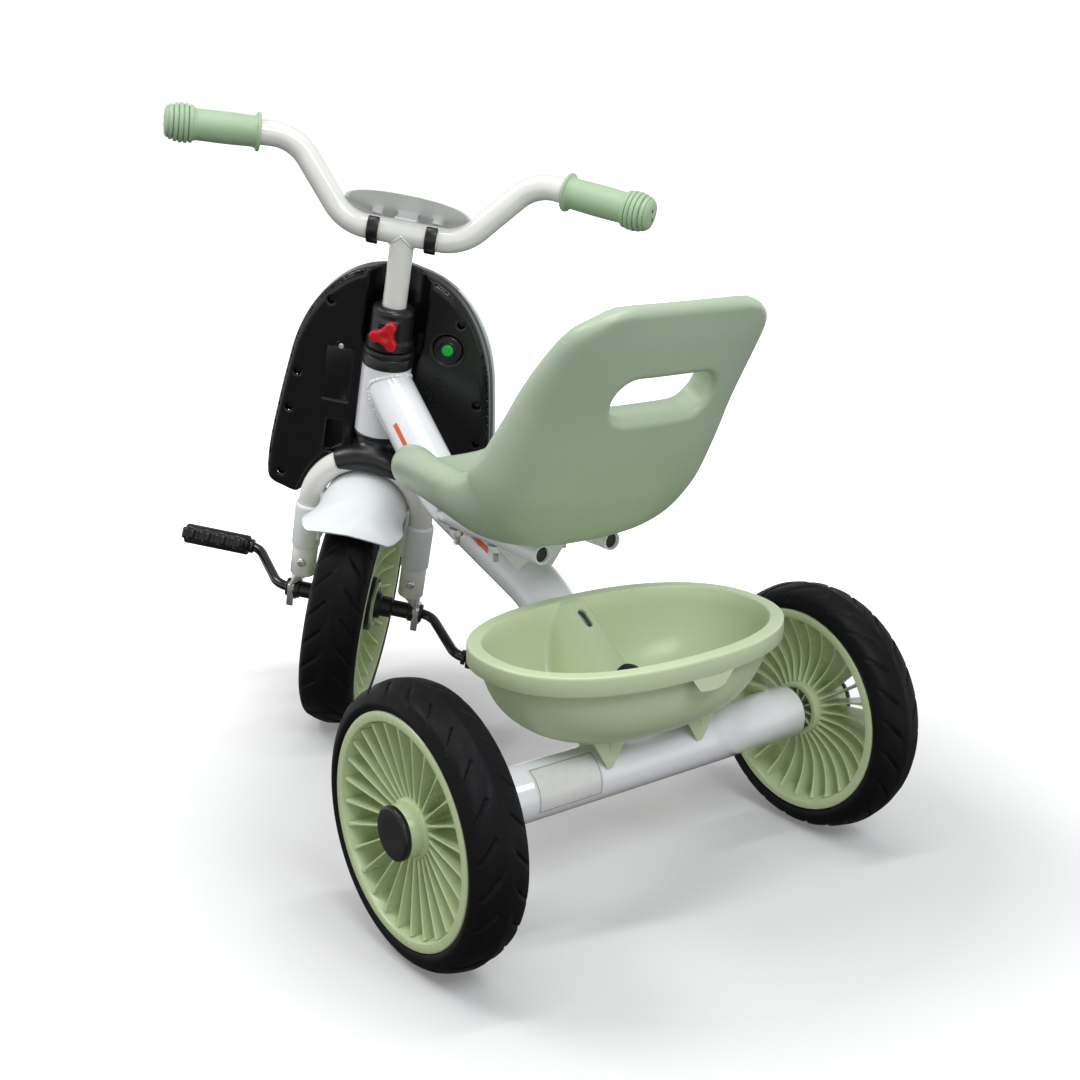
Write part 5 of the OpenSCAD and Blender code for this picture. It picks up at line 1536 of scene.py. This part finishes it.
lo, hi = span("stem_tube", STEER)
stem_low = lo[2]
lo, hi = span("bar_clips", STEER)
BAR_S = (lo[2] + hi[2]) / 2
BAR_R = 11
SWEEP = 20.0
GRIP_FROM = 33  # from the outer bend to the grip's inner end
BEND = np.array([107, -14, BAR_S + 62.5])
along = np.array([math.cos(math.radians(SWEEP)), math.sin(math.radians(SWEEP)), 0.017])
along /= np.linalg.norm(along)
tip = BEND + (GRIP_FROM + 70) * along
half_bar = [np.array([52, 0, BAR_S]), BEND, tip]
pts = [p * [-1, 1, 1] for p in reversed(half_bar)] + half_bar
bar_path = resample(path_through(pts, [40, 42, 42, 40], 1.5), 3.0)
bar = sweep(bar_path, BAR_R, 48, lip=0.5)
stem = sweep(resample(np.array([(0, 0, stem_low), (0, 0, BAR_S)], float), 6), BAR_R, 48, lip=0.5)
piece("bar_and_stem", join(bar, stem), STEER, CREAM_PAINT, "handlebar", ["handlebar_tube", "stem_tube"],
      45)
ring = []
for a in np.arange(96) * 2 * math.pi / 96:
    x, y = BAR_R * math.cos(a), BAR_R * math.sin(a)
    ring.append((x * 1.02, y * 1.02, BAR_S - math.sqrt(max(BAR_R**2 - y * y, 0)) - 0.2))
piece("stem_weld", weld(ring, 0.9, 9), STEER, CREAM_PAINT, "handlebar", (), 60)


def grip_mesh():
    """A grip along Z: a flange, a slim waist and a ribbed ball."""
    prof = [(11.1, -1.6), (15.6, -1.8), (16.6, -1.2), (16.9, -0.2), (16.6, 0.9), (15.8, 1.3), (14.6, 1.7),
            (13.8, 2.8), (13.4, 5)]
    for z in np.linspace(8, 51, 12):
        prof.append((13.35 + 0.35 * math.sin((z - 8) / 43 * math.pi), z))
    prof += [(13.5, 53), (14.2, 54.5)]
    # the ribbed ball
    z = 55.0
    for i in range(5):
        t0 = (i + 0.5) / 5
        rr = 16.9 - 2.2 * abs(t0 - 0.42) ** 2 * 4
        prof += [(rr - 1.7, z + 0.1), (rr - 0.3, z + 0.5), (rr, z + 1.3), (rr, z + 2.7), (rr - 0.3, z + 3.5),
                 (rr - 1.7, z + 3.9)]
        z += 4.2
    prof += [(13.6, z + 0.6), (12.4, z + 2.2), (10, z + 3.1), (6, z + 3.5), (0, z + 3.6)]
    return lathe(prof, 72)


turn = np.array(Vector((0, 0, 1)).rotation_difference(Vector(along)).to_matrix())
grip = moved(grip_mesh(), BEND + GRIP_FROM * along, turn)
# two near-black discs on each grip's ball end: painted shade standing in for its vent holes
vent = lathe([(0, 0.05), (1.5, 0.05), (1.9, -0.2)], 20)
vents = join(*[moved(moved(vent, (s * 4.2, 0, 79.6)), BEND + GRIP_FROM * along, turn) for s in (-1, 1)])
for side, geo, extra in (("left", grip, vents), ("right", mirrored_x(grip), mirrored_x(vents))):
    piece(f"grip_rubber_{side}", geo, STEER, GRIP_GREEN, "handlebar", [f"grip_{side}"], 35)
    piece(f"grip_vent_painted_shade_{side}", extra, STEER, PAINTED_SHADE, "handlebar", (), 35)

around = np.radians(np.linspace(-68, 62, 24))
line = [(r * math.cos(a), r * math.sin(a)) for r,
        angles in ((14.2, around), (11.05, around[::-1])) for a in angles]
clip = moved(prism(line, 21, 31.2), (0, 0, BAR_S), X_OUT)
piece("clips", join(mirrored_x(clip), clip), STEER, BLACK, "handlebar", ["bar_clips"], 40,
      bevel=0.9)


def dash_mesh(h=0.9):
    """The oval dash plate with its posts and saddle, in its own frame: +Z is forward and up."""
    lo3, hi3 = np.array([-62.0, -32, -26]), np.array([62.0, 30, 18])
    x, y, z = field_grid(lo3, hi3, h)
    half_w, half_h, power = 57, 26, 2.3
    post_x, post_y, bar_z = 27.2, -9.2, -22.6
    rho = (np.abs(x / half_w) ** power + np.abs(y / half_h) ** power) ** (1 / power)
    dome = 13 - 12.0 * np.clip(rho, 0, 1.2) ** 3.4
    outer = round_meet((rho - 1) * half_h, (z - dome) * 0.8, 2.4)
    inner = np.maximum((rho - 0.93) * half_h, (z - np.minimum(dome - 2.8, -2.5)) * 0.8)
    body = meet(outer, -5 - z, -inner)
    bar = np.hypot(y - post_y, z - bar_z)
    for px in (-post_x, post_x):
        post = np.maximum(np.hypot(x - px, y - post_y) - 4.7, z - 9)
        body = blend_in(body, post, 3)
    rib = meet(np.abs(x) - 9, np.abs(y - post_y) - 1.8, z - 10)
    flare = meet(np.abs(x) - 10, bar - 13.0, np.abs(y - post_y) - 8)
    body = blend_in(body, blend_in(rib, flare, 4), 2)
    # free of the bar, and of the clips round the posts
    body = np.maximum(body, np.where(np.abs(np.abs(x) - post_x) < 7, 13.2 - bar, 11.15 - bar))
    return relax(nets(body, lo3, h), 2)


DASH = turned(shifted(STEER, (0, -9.5, BAR_S + 22.5)), "X", 45)
piece("dash_oval", dash_mesh(), DASH, DASH_WHITE, "handlebar", ["dash_plate"], 45)

# carried-over CAD nodes get real finishes
for node, mat in (("rear_axle_rod", ZINC), ("rod_nuts", ZINC), ("steerer_tube", ZINC), ("clamp_screw", ZINC),
                  ("batteries", CELL), ("music_board", BOARD), ("speaker", BLACK)):
    me = frame["nodes"][node].data
    me.materials.clear()
    me.materials.append(mat)

# ------------------------------------------------------------------ studio

# the photo's camera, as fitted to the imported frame
CAMERA_AT = Vector((0.73102, 1.08620, 0.61829))
RIGHT = Vector((-0.80248877, 0.59638799, 0.01825186))
UP = Vector((-0.15806877, -0.24199215, 0.95731607))
cam = bpy.data.objects.new("camera", bpy.data.cameras.new("camera"))
bpy.context.scene.collection.objects.link(cam)
cam.data.sensor_width = 36
cam.data.lens = 51.440
m = Matrix.Identity(4)
for i, vec in enumerate((RIGHT, UP, RIGHT.cross(UP))):
    for k in range(3):
        m[k][i] = vec[k]
m.translation = CAMERA_AT
cam.matrix_world = m
cam.data.clip_start, cam.data.clip_end = 0.05, 60
bpy.context.scene.camera = cam

FLOOR_SIDE, n = 24, 40
me = bpy.data.meshes.new("floor")
across = (np.arange(n + 1) / n - 0.5) * FLOOR_SIDE
v, faces = rings([[(x, y, 0) for y in across] for x in across], closed_cols=False)
me.from_pydata(v.tolist(), [], faces)
floor = bpy.data.objects.new("floor", me)
bpy.context.scene.collection.objects.link(floor)
floor_mat = bpy.data.materials.new("floor_white")
floor_mat.use_nodes = True
nt = floor_mat.node_tree
p = nt.nodes["Principled BSDF"]
tc = nt.nodes.new("ShaderNodeTexCoord")
p.inputs["Roughness"].default_value = 0.7
p.inputs["Specular IOR Level"].default_value = 0.1
# the floor is darker and glows less near the tricycle, centred a little towards the rear axle: a painted shadow
# round it, in both the base colour and the glow, on top of the lamps' cast shadows; further out it is evenly
# white
away = nt.nodes.new("ShaderNodeVectorMath")
away.operation = "LENGTH"
mp = nt.nodes.new("ShaderNodeMapping")
mp.inputs["Location"].default_value = (0.06, -0.16, 0)
nt.links.new(tc.outputs["Object"], mp.inputs["Vector"])
nt.links.new(mp.outputs["Vector"], away.inputs[0])
painted_shadow_ramp = ranged(nt, away.outputs["Value"], 0, 1, 0.40, 1.3)
nt.links.new(mixed(nt, painted_shadow_ramp, (0.66, 0.66, 0.66), (0.9, 0.9, 0.9)), p.inputs["Base Color"])
p.inputs["Emission Color"].default_value = (1, 1, 1, 1)
nt.links.new(ranged(nt, away.outputs["Value"], 0.12, 0.94, 0.30, 0.80), p.inputs["Emission Strength"])
me.materials.append(floor_mat)
floor.visible_diffuse = False
floor.visible_glossy = False

world = bpy.data.worlds.new("studio")
world.use_nodes = True
nt = world.node_tree
tc = nt.nodes.new("ShaderNodeTexCoord")
split = nt.nodes.new("ShaderNodeSeparateXYZ")
nt.links.new(tc.outputs["Generated"], split.inputs["Vector"])
ramp = nt.nodes.new("ShaderNodeValToRGB")
stops = ramp.color_ramp.elements
for at, value in ((0.0, 0.08), (0.34, 0.18), (0.43, 0.98), (0.56, 1.0), (0.62, 0.60), (0.74, 0.42),
                  (1.0, 0.38)):
    e = stops.new(at) if at not in (0.0, 1.0) else stops[0 if at == 0.0 else len(stops) - 1]
    e.color = (value, value, value, 1)
nt.links.new(ranged(nt, split.outputs["Z"], 0, 1, -1, 1), ramp.inputs["Fac"])
nt.links.new(ramp.outputs["Color"], nt.nodes["Background"].inputs["Color"])
nt.nodes["Background"].inputs["Strength"].default_value = 1.03
bpy.context.scene.world = world


def softbox(name, at, size, watts, look=(0, 0, 0.25), size_y=None):
    """A rectangular lamp that faces the tricycle."""
    data = bpy.data.lights.new(name, "AREA")
    data.shape = "RECTANGLE"
    data.size, data.size_y = size, size_y or size
    data.energy = watts
    ob = bpy.data.objects.new(name, data)
    ob.location = at
    ob.rotation_euler = (Vector(look) - Vector(at)).to_track_quat("-Z", "Y").to_euler()
    bpy.context.scene.collection.objects.link(ob)
    return ob


softbox("key", (1.3, -0.9, 2.3), 1.0, 20, size_y=0.7)
softbox("overhead", (0.1, 0.4, 2.4), 1.8, 18, size_y=0.14)
softbox("fill", (0.4, 2.2, 2.4), 1.5, 36, size_y=1.0).data.color = (0.92, 0.96, 1.0)

bpy.context.scene.view_settings.view_transform = "Standard"
bpy.context.scene.view_settings.look = "None"
